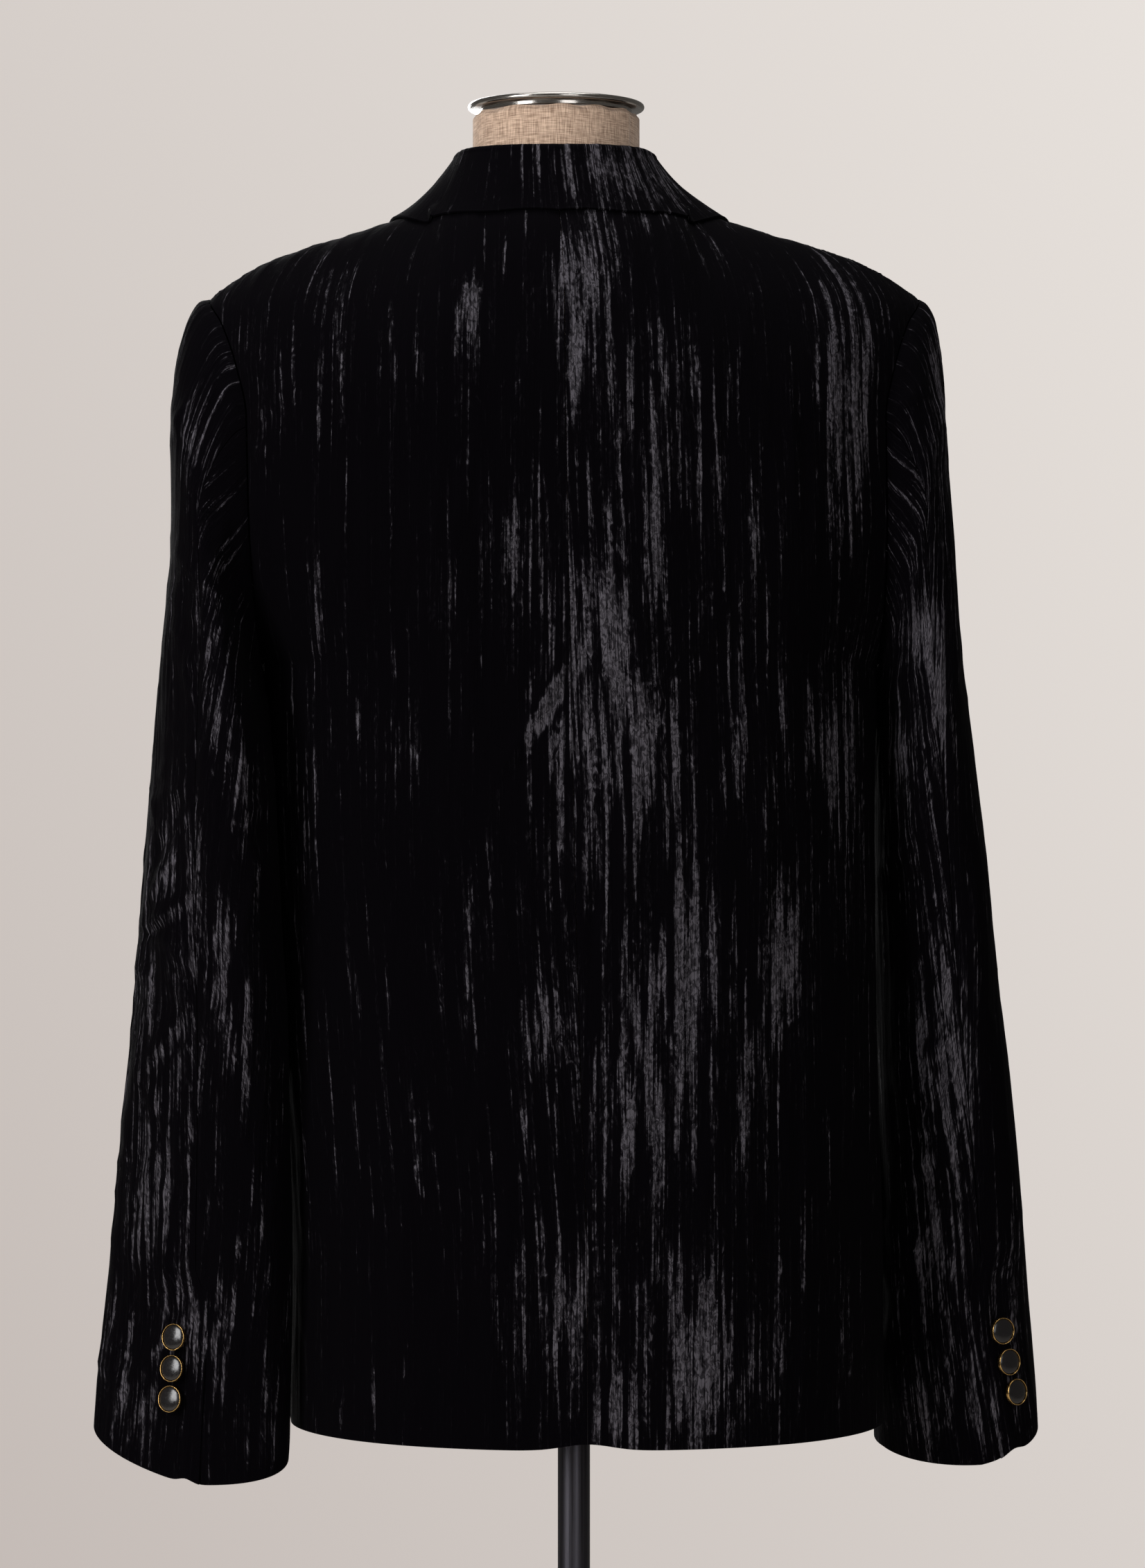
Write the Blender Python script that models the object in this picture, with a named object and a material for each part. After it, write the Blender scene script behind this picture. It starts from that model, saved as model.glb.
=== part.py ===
"""Crushed-velvet blazer on a limbless dress form with a steel pole and a round base.

Metres, +Z up. The origin is the centre of the base's underside, on the floor. The garment faces -Y,
so its back looks along +Y, and the wearer's left side is +X. Every cloth piece is a thin wall worked
out from the section tables below, and the dress form is worked out from the same surface, set in.
"""

import bpy
import numpy as np

# Cloth thicknesses and gaps
WALL = 0.0016
COLLAR_WALL = 0.0020
LAPEL_WALL = 0.0018
SEAM = 0.0003
ARMHOLE_GAP = 0.0006

# Heights that the body is cut to
HEM_Z = 0.7615
FRONT_HEM_Z = 0.7600
UNDERARM_Z = 1.1965
SHOULDER_Z = 1.4078
SHOULDER_X = 0.2040
NECK_X = 0.0740
NECK_SIDE_Z = 1.4585
NECK_BACK_Z = 1.4560
NECK_BACK_Y = 0.0680
NECK_FRONT_Z = 1.4000
NECK_FRONT_Y = -0.0560
SHOULDER_ROUNDING = 0.110
SECTION_POWER = 2.35

# The cloth's sections, from the hem up
BODY_COLUMNS = ("z", "half", "back", "front", "lean")
BODY = np.array([
    (0.700, 0.1712, 0.1290, -0.1200, -0.0075),
    (0.762, 0.1710, 0.1280, -0.1190, -0.0075),
    (0.870, 0.1708, 0.1270, -0.1180, -0.0070),
    (0.960, 0.1715, 0.1230, -0.1130, -0.0040),
    (1.060, 0.1728, 0.1140, -0.1070, -0.0010),
    (1.150, 0.1748, 0.1120, -0.1120, 0.0010),
    (1.197, 0.1765, 0.1140, -0.1180, 0.0020),
    (1.235, 0.1785, 0.1160, -0.1190, 0.0026),
    (1.275, 0.1797, 0.1180, -0.1180, 0.0034),
    (1.335, 0.1802, 0.1180, -0.1140, 0.0044),
    (1.366, 0.1865, 0.1150, -0.1100, 0.0048),
    (1.390, 0.1950, 0.1120, -0.1060, 0.0052),
    (1.4078, 0.2040, 0.1100, -0.1030, 0.0055),
    (1.455, 0.2040, 0.1075, -0.1000, 0.0085),
    (1.490, 0.2040, 0.1060, -0.0980, 0.0108),
    (1.530, 0.2040, 0.1060, -0.0980, 0.0108),
])

# The shoulder line, from the neck point out
SHOULDER_COLUMNS = ("x", "z")
SHOULDER = np.array([
    (0.0740, 1.4585),
    (0.0900, 1.4543),
    (0.1034, 1.4502),
    (0.1208, 1.4446),
    (0.1400, 1.4390),
    (0.1578, 1.4334),
    (0.1722, 1.4278),
    (0.1828, 1.4222),
    (0.1918, 1.4166),
    (0.2000, 1.4110),
    (0.2040, 1.4078),
    (0.2600, 1.3600),
])

# How far the armhole spreads back and forward of the side seam
ARMHOLE_BACK = 0.0620
ARMHOLE_FRONT = 0.0560
ARMHOLE_ROUND_Z = 1.2900

# The front edge: it reaches past the centre at the button, and is the lapel's fold above it
BREAK_Z = 1.0850
EDGE_COLUMNS = ("z", "x")
EDGE = np.array([
    (0.760, 0.0420),
    (0.790, 0.0330),
    (0.830, 0.0190),
    (0.880, 0.0040),
    (0.950, -0.0090),
    (1.020, -0.0160),
    (1.085, -0.0170),
    (1.110, -0.0120),
    (1.250, 0.0228),
    (1.350, 0.0470),
    (1.410, 0.0620),
    (1.4585, 0.0740),
])
LAP_LIFT = 0.0046

# The lapel's outer edge, from the button up to its tip
LAPEL_COLUMNS = ("v", "x", "z")
LAPEL = np.array([
    (0.00, -0.0120, 1.092),
    (0.15, 0.0300, 1.130),
    (0.40, 0.0720, 1.205),
    (0.70, 0.1080, 1.295),
    (0.90, 0.1300, 1.362),
    (1.00, 0.1400, 1.398),
])
GORGE_Z = 1.4080

# The collar from the centre back (0) past the neck point (0.54) to its front end (1): height of
# the stand, how far it leans in to the neck, and the outer edge in plan
COLLAR_COLUMNS = ("a", "height", "lean_in", "edge_x", "edge_y")
COLLAR = np.array([
    (0.00, 0.0300, 0.0010, 0.0000, 0.0850),
    (0.14, 0.0303, 0.0035, 0.0340, 0.0805),
    (0.28, 0.0305, 0.0095, 0.0650, 0.0625),
    (0.42, 0.0300, 0.0165, 0.0870, 0.0345),
    (0.54, 0.0275, 0.0190, 0.0965, 0.0030),
    (0.68, 0.0170, 0.0120, 0.1010, -0.0260),
    (0.84, 0.0075, 0.0040, 0.1030, -0.0500),
    (1.00, 0.0048, 0.0000, 0.1040, -0.0600),
])
NECK_POINT_A = 0.54
ROLL_RADIUS = 0.0024
LAPEL_GAP = 0.0009
COLLAR_GAP = 0.0010
STAND_GAP = 0.0008
GORGE_GAP = 0.0016
NOTCH_CORNER = (0.0900, 1.4085)
COLLAR_TIP = (0.1040, 1.4250)

# The sleeves from the armhole (0) to the cuff (1): outline seen from behind, then depth
SLEEVE_COLUMNS = ("v", "outer_x", "outer_z", "inner_x", "inner_z", "mid_y", "half_y", "lean_y", "drop", "seam")
SLEEVE_LEFT = np.array([
    (0.00, 0.2098, 1.4078, 0.1792, 1.1965, 0.002, 0.0600, 0.000, 0.000, 75),
    (0.02, 0.2148, 1.4062, 0.1793, 1.1935, 0.002, 0.0610, 0.000, 0.000, 75),
    (0.05, 0.2224, 1.3942, 0.1793, 1.1890, 0.002, 0.0630, 0.000, 0.000, 75),
    (0.10, 0.2300, 1.3640, 0.1788, 1.1820, 0.004, 0.0655, -0.004, 0.000, 76),
    (0.17, 0.2332, 1.3246, 0.1770, 1.1720, 0.008, 0.0680, -0.014, 0.000, 77),
    (0.25, 0.2332, 1.2720, 0.1742, 1.1550, 0.012, 0.0690, -0.026, 0.000, 78),
    (0.34, 0.2382, 1.2060, 0.1716, 1.1270, 0.016, 0.0670, -0.032, 0.000, 79),
    (0.43, 0.2434, 1.1470, 0.1692, 1.0900, 0.019, 0.0630, -0.032, 0.000, 80),
    (0.53, 0.2482, 1.0850, 0.1662, 1.0430, 0.022, 0.0570, -0.030, 0.000, 82),
    (0.63, 0.2520, 1.0270, 0.1624, 0.9910, 0.024, 0.0510, -0.028, 0.000, 84),
    (0.73, 0.2570, 0.9660, 0.1604, 0.9350, 0.024, 0.0450, -0.027, 0.000, 86),
    (0.82, 0.2640, 0.8980, 0.1590, 0.8750, 0.022, 0.0395, -0.027, -0.002, 88),
    (0.91, 0.2705, 0.8330, 0.1596, 0.8150, 0.020, 0.0335, -0.027, -0.005, 90),
    (1.00, 0.2784, 0.7570, 0.1614, 0.7450, 0.018, 0.0295, -0.027, -0.010, 90),
])
SLEEVE_RIGHT = np.array([
    (0.00, 0.1990, 1.4078, 0.1752, 1.1965, 0.002, 0.0600, 0.000, 0.000, 75),
    (0.02, 0.2024, 1.4055, 0.1753, 1.1935, 0.002, 0.0610, 0.000, 0.000, 75),
    (0.05, 0.2076, 1.3960, 0.1754, 1.1890, 0.002, 0.0635, 0.000, 0.000, 75),
    (0.10, 0.2118, 1.3650, 0.1756, 1.1820, 0.000, 0.0665, 0.003, 0.000, 75),
    (0.17, 0.2136, 1.3246, 0.1752, 1.1720, -0.004, 0.0690, 0.010, 0.000, 75),
    (0.25, 0.2170, 1.2700, 0.1740, 1.1550, -0.010, 0.0700, 0.022, 0.000, 75),
    (0.34, 0.2226, 1.2050, 0.1735, 1.1270, -0.016, 0.0685, 0.028, 0.000, 75),
    (0.43, 0.2302, 1.1460, 0.1732, 1.0900, -0.020, 0.0660, 0.028, 0.000, 75),
    (0.53, 0.2378, 1.0840, 0.1732, 1.0430, -0.023, 0.0610, 0.027, 0.000, 75),
    (0.63, 0.2438, 1.0260, 0.1738, 0.9910, -0.026, 0.0560, 0.025, 0.000, 74),
    (0.73, 0.2518, 0.9650, 0.1745, 0.9350, -0.028, 0.0510, 0.023, 0.000, 73),
    (0.82, 0.2588, 0.8970, 0.1754, 0.8750, -0.030, 0.0470, 0.021, -0.002, 71),
    (0.91, 0.2634, 0.8330, 0.1758, 0.8150, -0.031, 0.0445, 0.019, -0.005, 68),
    (1.00, 0.2696, 0.7570, 0.1760, 0.7450, -0.032, 0.0420, 0.017, -0.010, 50),
])
FRONT_SEAM_DEG = -75

# The largest folds of the back: height is how far each stands proud, lean is its slant
FOLD_COLUMNS = ("x", "z", "half_length", "width", "height", "lean")
BACK_FOLDS = np.array([
    (-0.034, 1.14, 0.24, 0.022, 0.0026, 0.00),
    (-0.082, 1.00, 0.24, 0.020, 0.0024, -0.03),
    (-0.122, 1.22, 0.20, 0.020, 0.0024, -0.05),
    (-0.128, 0.90, 0.16, 0.020, 0.0030, -0.04),
    (0.030, 0.98, 0.20, 0.021, 0.0022, 0.05),
    (0.066, 1.20, 0.18, 0.022, 0.0026, 0.04),
    (0.110, 1.02, 0.22, 0.021, 0.0026, 0.04),
    (0.050, 0.84, 0.10, 0.020, 0.0024, 0.05),
])
FRONT_FOLDS = np.array([
    (0.080, 0.92, 0.14, 0.022, 0.0026, -0.03),
    (0.132, 1.02, 0.20, 0.021, 0.0026, 0.05),
    (0.038, 0.98, 0.08, 0.018, 0.0020, 0.30),
])
# Sleeve folds, placed by angle round the sleeve and share of its length; slant in degrees per unit
SLEEVE_FOLD_COLUMNS = ("angle", "v", "half_v", "width", "height", "slant")
SLEEVE_FOLDS_LEFT = np.array([
    (45, 0.30, 0.14, 19, 0.0026, -90),
    (118, 0.34, 0.14, 19, 0.0024, 60),
    (60, 0.58, 0.09, 20, 0.0034, 240),
    (112, 0.66, 0.10, 19, 0.0030, -200),
    (40, 0.72, 0.08, 20, 0.0028, -240),
    (130, 0.86, 0.10, 20, 0.0024, 40),
    (225, 0.60, 0.16, 20, 0.0024, 60),
    (315, 0.60, 0.14, 20, 0.0028, -160),
])
SLEEVE_FOLDS_RIGHT = np.array([
    (45, 0.30, 0.12, 19, 0.0026, 60),
    (112, 0.38, 0.12, 19, 0.0024, -80),
    (48, 0.60, 0.12, 20, 0.0030, 140),
    (110, 0.70, 0.12, 20, 0.0030, -120),
    (225, 0.62, 0.16, 20, 0.0024, -60),
    (318, 0.62, 0.14, 20, 0.0028, 140),
])

# Grid sizes
COLUMNS_TO_NECK_POINT = 5
COLUMNS_PAST_NECK_POINT = 9
FRONT_STEPS = (0, 0.04, 0.10, 0.18, 0.27, 0.36, 0.45, 0.55, 0.66, 0.78, 0.90, 1.0)
ROWS_BELOW_ARMHOLE = 10
ROWS_AT_ARMHOLE = 12
SLEEVE_ROWS = 18
UPPER_SLEEVE_COLUMNS = 10
UNDER_SLEEVE_COLUMNS = 14
LAPEL_ROWS = 18
LAPEL_COLUMNS_ACROSS = 6
COLLAR_STEPS = 18

# Buttons: a gilt cup with a shank, and a black enamel face
CUFF_BUTTON_RADIUS = 0.0076
FRONT_BUTTON_RADIUS = 0.0100
BUTTON_SEGMENTS = 14
CUFF_BUTTON_HEIGHTS = (0.8145, 0.7965, 0.7790)
FRONT_BUTTON_Z = 1.070

# Dress form and stand
FORM_BOTTOM_Z = 0.8300
FORM_GAP = 0.0005
NECK_CENTRE = (0.0102, 0.0050)
NECK_RADIUS = 0.0480
NECK_TOP_Z = 1.5135
CAP_RADIUS = 0.0508
CAP_HEIGHT = 0.0034
CAP_LIFT = 0.0022
POLE_RADIUS = 0.0093
BASE_RADIUS = 0.165
BASE_HEIGHT = 0.009
HUB_RADIUS = 0.021
HUB_HEIGHT = 0.034
FLANGE_RADIUS = 0.040
FLANGE_HEIGHT = 0.006

# Colours, linear
VELVET = (0.006, 0.005, 0.007)
ENAMEL = (0.010, 0.010, 0.011)
GILT = (0.80, 0.52, 0.20)
LINEN = (0.53, 0.38, 0.27)
STEEL = (0.55, 0.55, 0.56)


def follow(at, xs, ys):
    """Smooth curve through table points that never overshoots them: a cubic on each span, with the
    harmonic mean of the neighbouring slopes as its slope at each point."""
    at = np.clip(np.asarray(at, float), xs[0], xs[-1])
    rise = np.diff(ys) / np.diff(xs)
    slope = np.zeros(len(xs))
    slope[0], slope[-1] = rise[0], rise[-1]
    same_way = rise[1:] * rise[:-1] > 0
    sums = np.where(same_way, rise[1:] + rise[:-1], 1.0)
    slope[1:-1] = np.where(same_way, 2 * rise[1:] * rise[:-1] / sums, 0.0)
    i = np.clip(np.searchsorted(xs, at, side="right") - 1, 0, len(xs) - 2)
    span = xs[i + 1] - xs[i]
    t = (at - xs[i]) / span
    bend = (1 - t) * t * ((slope[i] - rise[i]) * (1 - t) - (slope[i + 1] - rise[i]) * t)
    return ys[i] + (ys[i + 1] - ys[i]) * t + span * bend


def column(table, names, name, at):
    """A named column of a table at some values of its first column."""
    return follow(at, table[:, 0], table[:, names.index(name)])


def body(name, z):
    return column(BODY, BODY_COLUMNS, name, z)


def ease(t):
    """0 to 1 with no corner at either end."""
    t = np.clip(t, 0, 1)
    return t * t * (3 - 2 * t)


def unit(v):
    return v / np.maximum(np.linalg.norm(v, axis=-1, keepdims=True), 1e-12)


def top_z(x, neck_z):
    """Height of the cloth's top edge at x: the neckline inside the neck point, the shoulder outside."""
    x = np.abs(x)
    inside = np.clip(x / NECK_X, 0, 1)
    neckline = neck_z + (NECK_SIDE_Z - neck_z) * inside ** 2
    return np.where(x < NECK_X, neckline, follow(x, SHOULDER[:, 0], SHOULDER[:, 1]))


def armhole_spread(z):
    """0 at the underarm, rising on a quarter ellipse to 1 at the armhole's middle."""
    below = np.clip((ARMHOLE_ROUND_Z - z) / (ARMHOLE_ROUND_Z - UNDERARM_Z), 0, 1)
    return np.sqrt(1 - below ** 2)


def folds(table, x, z):
    """Sum of soft ridges: a bell across each fold, fading towards its ends."""
    total = np.zeros(np.broadcast(x, z).shape)
    for fold_x, fold_z, half_length, width, height, lean in table:
        along = (z - fold_z) / half_length
        across = (x - fold_x - lean * (z - fold_z)) / width
        total = total + height * np.exp(-across ** 2) * np.clip(1 - along ** 2, 0, 1) ** 1.5
    return total


def cloth_y(x, z, facing):
    """Depth of the cloth's outer face at (x, z). facing is 1 for the back and -1 for the front.
    Across, it is a flattened ellipse that ends at the side seam, and at the armhole it is cut short
    of its end; up, it closes on a quarter ellipse to the shoulder line or the neckline."""
    if facing > 0:
        depth, spread, neck_z, neck_y = body("back", z), ARMHOLE_BACK, NECK_BACK_Z, NECK_BACK_Y
        relief = folds(BACK_FOLDS, x, z)
    else:
        depth, spread, neck_z, neck_y = -body("front", z), ARMHOLE_FRONT, NECK_FRONT_Z, -NECK_FRONT_Y
        relief = folds(FRONT_FOLDS, np.abs(x), z)
    half = body("half", z)
    side = spread * armhole_spread(z)
    wide = half / (1 - (side / depth) ** 2) ** (1 / SECTION_POWER)
    full = depth * np.sqrt(np.clip(1 - (np.abs(x) / wide) ** SECTION_POWER, 0, 1))
    full = SEAM / 2 + full + relief * ease((half - np.abs(x)) / 0.035)
    inside = np.clip(np.abs(x) / NECK_X, 0, 1)
    start = SEAM / 2 + (neck_y - SEAM / 2) * (1 - inside ** 2.2) ** 0.6
    drop = np.clip((top_z(x, neck_z) - z) / SHOULDER_ROUNDING, 0, 1)
    closed = np.sqrt(1 - (1 - drop) ** 2)
    return facing * (start + (full - start) * closed)


def rows_up(k, top):
    """Height of row k (0 to 1) under a top edge: even below the armhole, closer at both its ends."""
    split = ROWS_BELOW_ARMHOLE / (ROWS_BELOW_ARMHOLE + ROWS_AT_ARMHOLE)
    above = np.clip((k - split) / (1 - split), 0, 1)
    return split, (1 - np.cos(np.pi * above)) / 2 * (top - UNDERARM_Z)


def back_point(s, k, side):
    """Outer face of a back panel: s from the centre seam to the side, k from hem to shoulder."""
    def across(z):
        return SEAM / 2 + (body("half", z) - SEAM / 2) * np.sin(np.pi / 2 * s)
    top = np.full(np.broadcast(s, k).shape, SHOULDER_Z)
    for _ in range(8):
        top = top_z(across(top), NECK_BACK_Z)
    hem = HEM_Z + 0.0035 * np.exp(-(s / 0.07) ** 2)
    split, raised = rows_up(k, top)
    z = hem + (UNDERARM_Z - hem) * np.clip(k / split, 0, 1) + raised
    x = side * across(z)
    y = cloth_y(x, z, 1)
    return np.stack([x + body("lean", z), y, z], -1)


def edge_x(z):
    return column(EDGE, EDGE_COLUMNS, "x", z)


def lap(x, z, side):
    """The right front laps over the left one, so it lies further out near the centre."""
    if side > 0:
        return 0.0
    return LAP_LIFT * ease((0.055 - x) / 0.035) * (1 - ease((z - 1.17) / 0.08))


def front_point(s, k, side):
    """Outer face of a front panel: s from the front edge to the side, k from hem to shoulder."""
    def across(z):
        return edge_x(z) + (body("half", z) - edge_x(z)) * np.sin(np.pi / 2 * s)
    top = np.full(np.broadcast(s, k).shape, SHOULDER_Z)
    for _ in range(12):
        top = top_z(np.maximum(across(top), NECK_X), NECK_FRONT_Z)
    rounded = 0.034 * np.clip(1 - s / 0.30, 0, 1) ** 2.2
    hem = FRONT_HEM_Z + (HEM_Z - FRONT_HEM_Z) * ease(s) + rounded
    split, raised = rows_up(k, top)
    z = hem + (UNDERARM_Z - hem) * np.clip(k / split, 0, 1) + raised
    x = across(z)
    y = cloth_y(x, z, -1) - lap(x, z, side)
    return np.stack([side * x + body("lean", z), y, z], -1)


def front_face(x, z, side, out):
    """A point of a front panel's outer face at (x, z), moved out by a distance along the normal."""
    step = 0.0004
    def depth(px, pz):
        return cloth_y(px, pz, -1) - lap(px, pz, side)
    y = depth(x, z)
    slope_x = (depth(x + step, z) - depth(x - step, z)) / (2 * step)
    slope_z = (depth(x, z + step) - depth(x, z - step)) / (2 * step)
    normal = unit(np.stack([slope_x, -np.ones_like(y), slope_z], -1))
    point = np.stack([x, y, z], -1) + out[..., None] * normal
    point[..., 0] = side * point[..., 0] + body("lean", z)
    return point


def lapel_point(v, b, side):
    """Middle of a lapel: v up the fold line, b across it. The first quarter of b is the fold, a
    quarter circle round the front's edge, and the rest is the leaf that lies on the front."""
    fold_z = BREAK_Z + 0.007 + (GORGE_Z - BREAK_Z - 0.007) * v
    fold_x = edge_x(fold_z)
    far_x = np.maximum(column(LAPEL, LAPEL_COLUMNS, "x", v), fold_x + 0.004)
    far_z = column(LAPEL, LAPEL_COLUMNS, "z", v)
    reach = WALL / 2 + LAPEL_GAP + LAPEL_WALL / 2
    bend = np.clip(b / 0.25, 0, 1) * np.pi / 2
    leaf = np.clip((b - 0.25) / 0.75, 0, 1)
    x = fold_x + (far_x - fold_x) * leaf - reach * np.cos(bend)
    z = fold_z + (far_z - fold_z) * leaf
    out = reach * np.sin(bend) - WALL / 2
    return front_face(x, z, side, out)


def sleeve(table, name, v):
    return column(table, SLEEVE_COLUMNS, name, v)


def armhole_point(u, side):
    """The armhole's edge on the body at angle u: 0 the shoulder, 90 the back, 180 the underarm."""
    z = (SHOULDER_Z + UNDERARM_Z) / 2 + (SHOULDER_Z - UNDERARM_Z) / 2 * np.cos(u)
    x = body("half", z)
    y = np.where(np.sin(u) >= 0, cloth_y(x, z, 1), cloth_y(x, z, -1))
    return np.stack([side * x + body("lean", z), y, z], -1)


def sleeve_point(u, v, side, table, fold_table):
    """Outer face of a sleeve: an ellipse whose long axis runs from the outline's outer point to its
    inner one, turning from the armhole's upright ring to the cuff's level one. Near the armhole it
    is drawn onto the body's own armhole edge."""
    get = lambda name: sleeve(table, name, v)
    middle_x = (get("outer_x") + get("inner_x")) / 2
    middle_z = (get("outer_z") + get("inner_z")) / 2
    half_x = (get("outer_x") - get("inner_x")) / 2
    half_z = (get("outer_z") - get("inner_z")) / 2
    turn = np.degrees(u) % 360
    relief = np.zeros(np.broadcast(u, v).shape)
    for angle, fold_v, half_v, width, height, slant in fold_table:
        away = (turn - angle - slant * (v - fold_v) + 180) % 360 - 180
        along = np.clip(1 - ((v - fold_v) / half_v) ** 2, 0, 1) ** 1.5
        relief = relief + height * np.exp(-(away / width) ** 2) * along
    cosine, sine = np.cos(u), np.sin(u)
    half_y = get("half_y") + relief
    x = side * (middle_x + (half_x + relief * np.sign(half_x)) * cosine)
    y = get("mid_y") + get("lean_y") * cosine + half_y * sine
    z = middle_z + half_z * cosine + get("drop") * sine
    ring = np.stack([x, y, z], -1)
    v0 = np.zeros_like(v)
    first_x = side * ((sleeve(table, "outer_x", v0) + sleeve(table, "inner_x", v0)) / 2
                      + (sleeve(table, "outer_x", v0) - sleeve(table, "inner_x", v0)) / 2 * cosine)
    first_z = ((sleeve(table, "outer_z", v0) + sleeve(table, "inner_z", v0)) / 2
               + (sleeve(table, "outer_z", v0) - sleeve(table, "inner_z", v0)) / 2 * cosine)
    first_y = sleeve(table, "mid_y", v0) + sleeve(table, "half_y", v0) * sine
    start = armhole_point(u, side) + np.array([side * ARMHOLE_GAP, 0, 0])
    pull = start - np.stack([first_x, first_y, first_z], -1)
    return ring + pull * (1 - ease(v / 0.13))[..., None]


def drop_on_cloth(x, y):
    """Height of the cloth's outer face under a plan point near the shoulders, by halving."""
    low = np.full(np.shape(x), 1.300)
    high = np.where(y > 0, top_z(x, NECK_BACK_Z), top_z(x, NECK_FRONT_Z))
    for _ in range(30):
        middle = (low + high) / 2
        depth = np.where(y > 0, cloth_y(x, middle, 1), -cloth_y(x, middle, -1))
        inside = depth > np.abs(y)
        low = np.where(inside, middle, low)
        high = np.where(inside, high, middle)
    return (low + high) / 2


def above_cloth(x, y, gap):
    """Height of a point that clears the cloth under a plan point by a gap along its normal."""
    step = 0.0008
    height = drop_on_cloth(x, y)
    slope_x = (drop_on_cloth(x + step, y) - drop_on_cloth(x - step, y)) / (2 * step)
    slope_y = (drop_on_cloth(x, y + step) - drop_on_cloth(x, y - step)) / (2 * step)
    return height + gap * np.sqrt(1 + np.minimum(slope_x ** 2 + slope_y ** 2, 6.0))


def collar_seam(a):
    """Foot of the collar's stand along the neckline, with the direction that the stand rises in:
    straight up at the back, and off the front's face at the front end."""
    turn = np.pi / 2 * np.clip(a / NECK_POINT_A, 0, 1)
    x = NECK_X * np.sin(turn) + 0.0010 * np.sin(turn)
    y = NECK_BACK_Y * (1 - np.sin(turn) ** 2.2) ** 0.6 + 0.0010 * np.cos(turn)
    z = above_cloth(x, np.maximum(y, 0.0004), STAND_GAP)
    back = np.stack([x, y, z], -1)
    share = np.clip((a - NECK_POINT_A) / (1 - NECK_POINT_A), 0, 1)
    low = np.array(GORGE_Z + 0.0030)
    end_y = cloth_y(edge_x(low) + 0.0010, low, -1)
    front_x = np.full(np.shape(a), NECK_X + 0.0010)
    for _ in range(6):
        front_z = drop_on_cloth(front_x, end_y * np.maximum(share, 1e-4))
        front_x = edge_x(front_z) + 0.0010
    front = front_face(front_x, front_z, 1, np.full(np.shape(a), STAND_GAP))
    away = front_face(front_x, front_z, 1, np.full(np.shape(a), 0.01)) - front
    front[..., 0] -= body("lean", front[..., 2])
    behind = (a <= NECK_POINT_A)[..., None]
    up = unit(away) * share[..., None] + np.array([0, 0, 1.0]) * (1 - share[..., None])
    return np.where(behind, back, front), unit(up)


def collar_point(a, b):
    """Middle of the collar: a from one front end (-1) round the back (0) to the other (1), b from
    the neck seam up the stand, over the roll and down the fall to its outer edge."""
    side, a = np.where(a < 0, -1.0, 1.0), np.abs(a)
    def get(name):
        return column(COLLAR, COLLAR_COLUMNS, name, a)
    seam, up = collar_seam(a)
    inward = unit(seam * np.array([-1.0, -1.0, 0.0]))
    roll = seam + get("height")[..., None] * up + get("lean_in")[..., None] * inward
    edge = np.stack([get("edge_x"), get("edge_y"), np.zeros_like(a)], -1)
    out = (edge - roll) * np.array([1.0, 1.0, 0.0])
    out = unit(out - np.sum(out * up, -1, keepdims=True) * up)
    centre = roll - ROLL_RADIUS * up
    gap = COLLAR_WALL / 2 + COLLAR_GAP
    edge[..., 2] = above_cloth(edge[..., 0], edge[..., 1], gap)
    stand = np.clip(b / 0.30, 0, 1)[..., None]
    bend = (np.clip((b - 0.30) / 0.25, 0, 1) * np.pi)[..., None]
    fall = np.clip((b - 0.55) / 0.45, 0, 1)
    on_roll = centre + ROLL_RADIUS * (np.sin(bend) * up - np.cos(bend) * out)
    first = centre + ROLL_RADIUS * out
    length = np.linalg.norm(edge - first, axis=-1, keepdims=True)
    front = ease((a - NECK_POINT_A) / 0.3)[..., None]
    bow = (first + edge) / 2 - 0.16 * length * (1 - front) * up
    f = fall[..., None]
    on_fall = (1 - f) ** 2 * first + 2 * f * (1 - f) * bow + f ** 2 * edge
    end = ease((a - 0.78) / 0.22)
    corner = front_face(np.array(NOTCH_CORNER[0]), np.array(NOTCH_CORNER[1]), 1, np.array(gap))
    tip = front_face(np.array(COLLAR_TIP[0]), np.array(COLLAR_TIP[1]), 1, np.array(gap))
    corner[0] -= body("lean", corner[2])
    tip[0] -= body("lean", tip[2])
    along = np.clip(f / 0.6, 0, 1)
    turned_up = np.clip((f - 0.6) / 0.4, 0, 1)
    gorge = first + (corner - first) * along + (tip - corner) * turned_up
    on_fall = on_fall + (gorge - on_fall) * end[..., None]
    floor = above_cloth(on_fall[..., 0], on_fall[..., 1], gap * (0.2 + 0.8 * ease(fall / 0.25)))
    lifted = np.maximum(on_fall[..., 2], floor)
    on_fall[..., 2] = np.where(fall > 0.02, lifted, on_fall[..., 2])
    on_stand = seam + (centre - ROLL_RADIUS * out - seam) * stand
    point = np.where(b[..., None] < 0.30, on_stand, np.where(b[..., None] < 0.55, on_roll, on_fall))
    point[..., 0] = side * point[..., 0] + body("lean", point[..., 2])
    return point


def surface_normals(surface, s, k, step=1e-3):
    """Outward normals of a surface of two parameters, from short steps kept inside 0 to 1."""
    s_low, s_high = np.clip(s - step, s.min(), 1), np.clip(s + step, 0, 1)
    k_low, k_high = np.clip(k - step, k.min(), 1), np.clip(k + step, k.min(), 1)
    along = surface(s_high, k) - surface(s_low, k)
    up = surface(s, k_high) - surface(s, k_low)
    return unit(np.cross(along, up))


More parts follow.
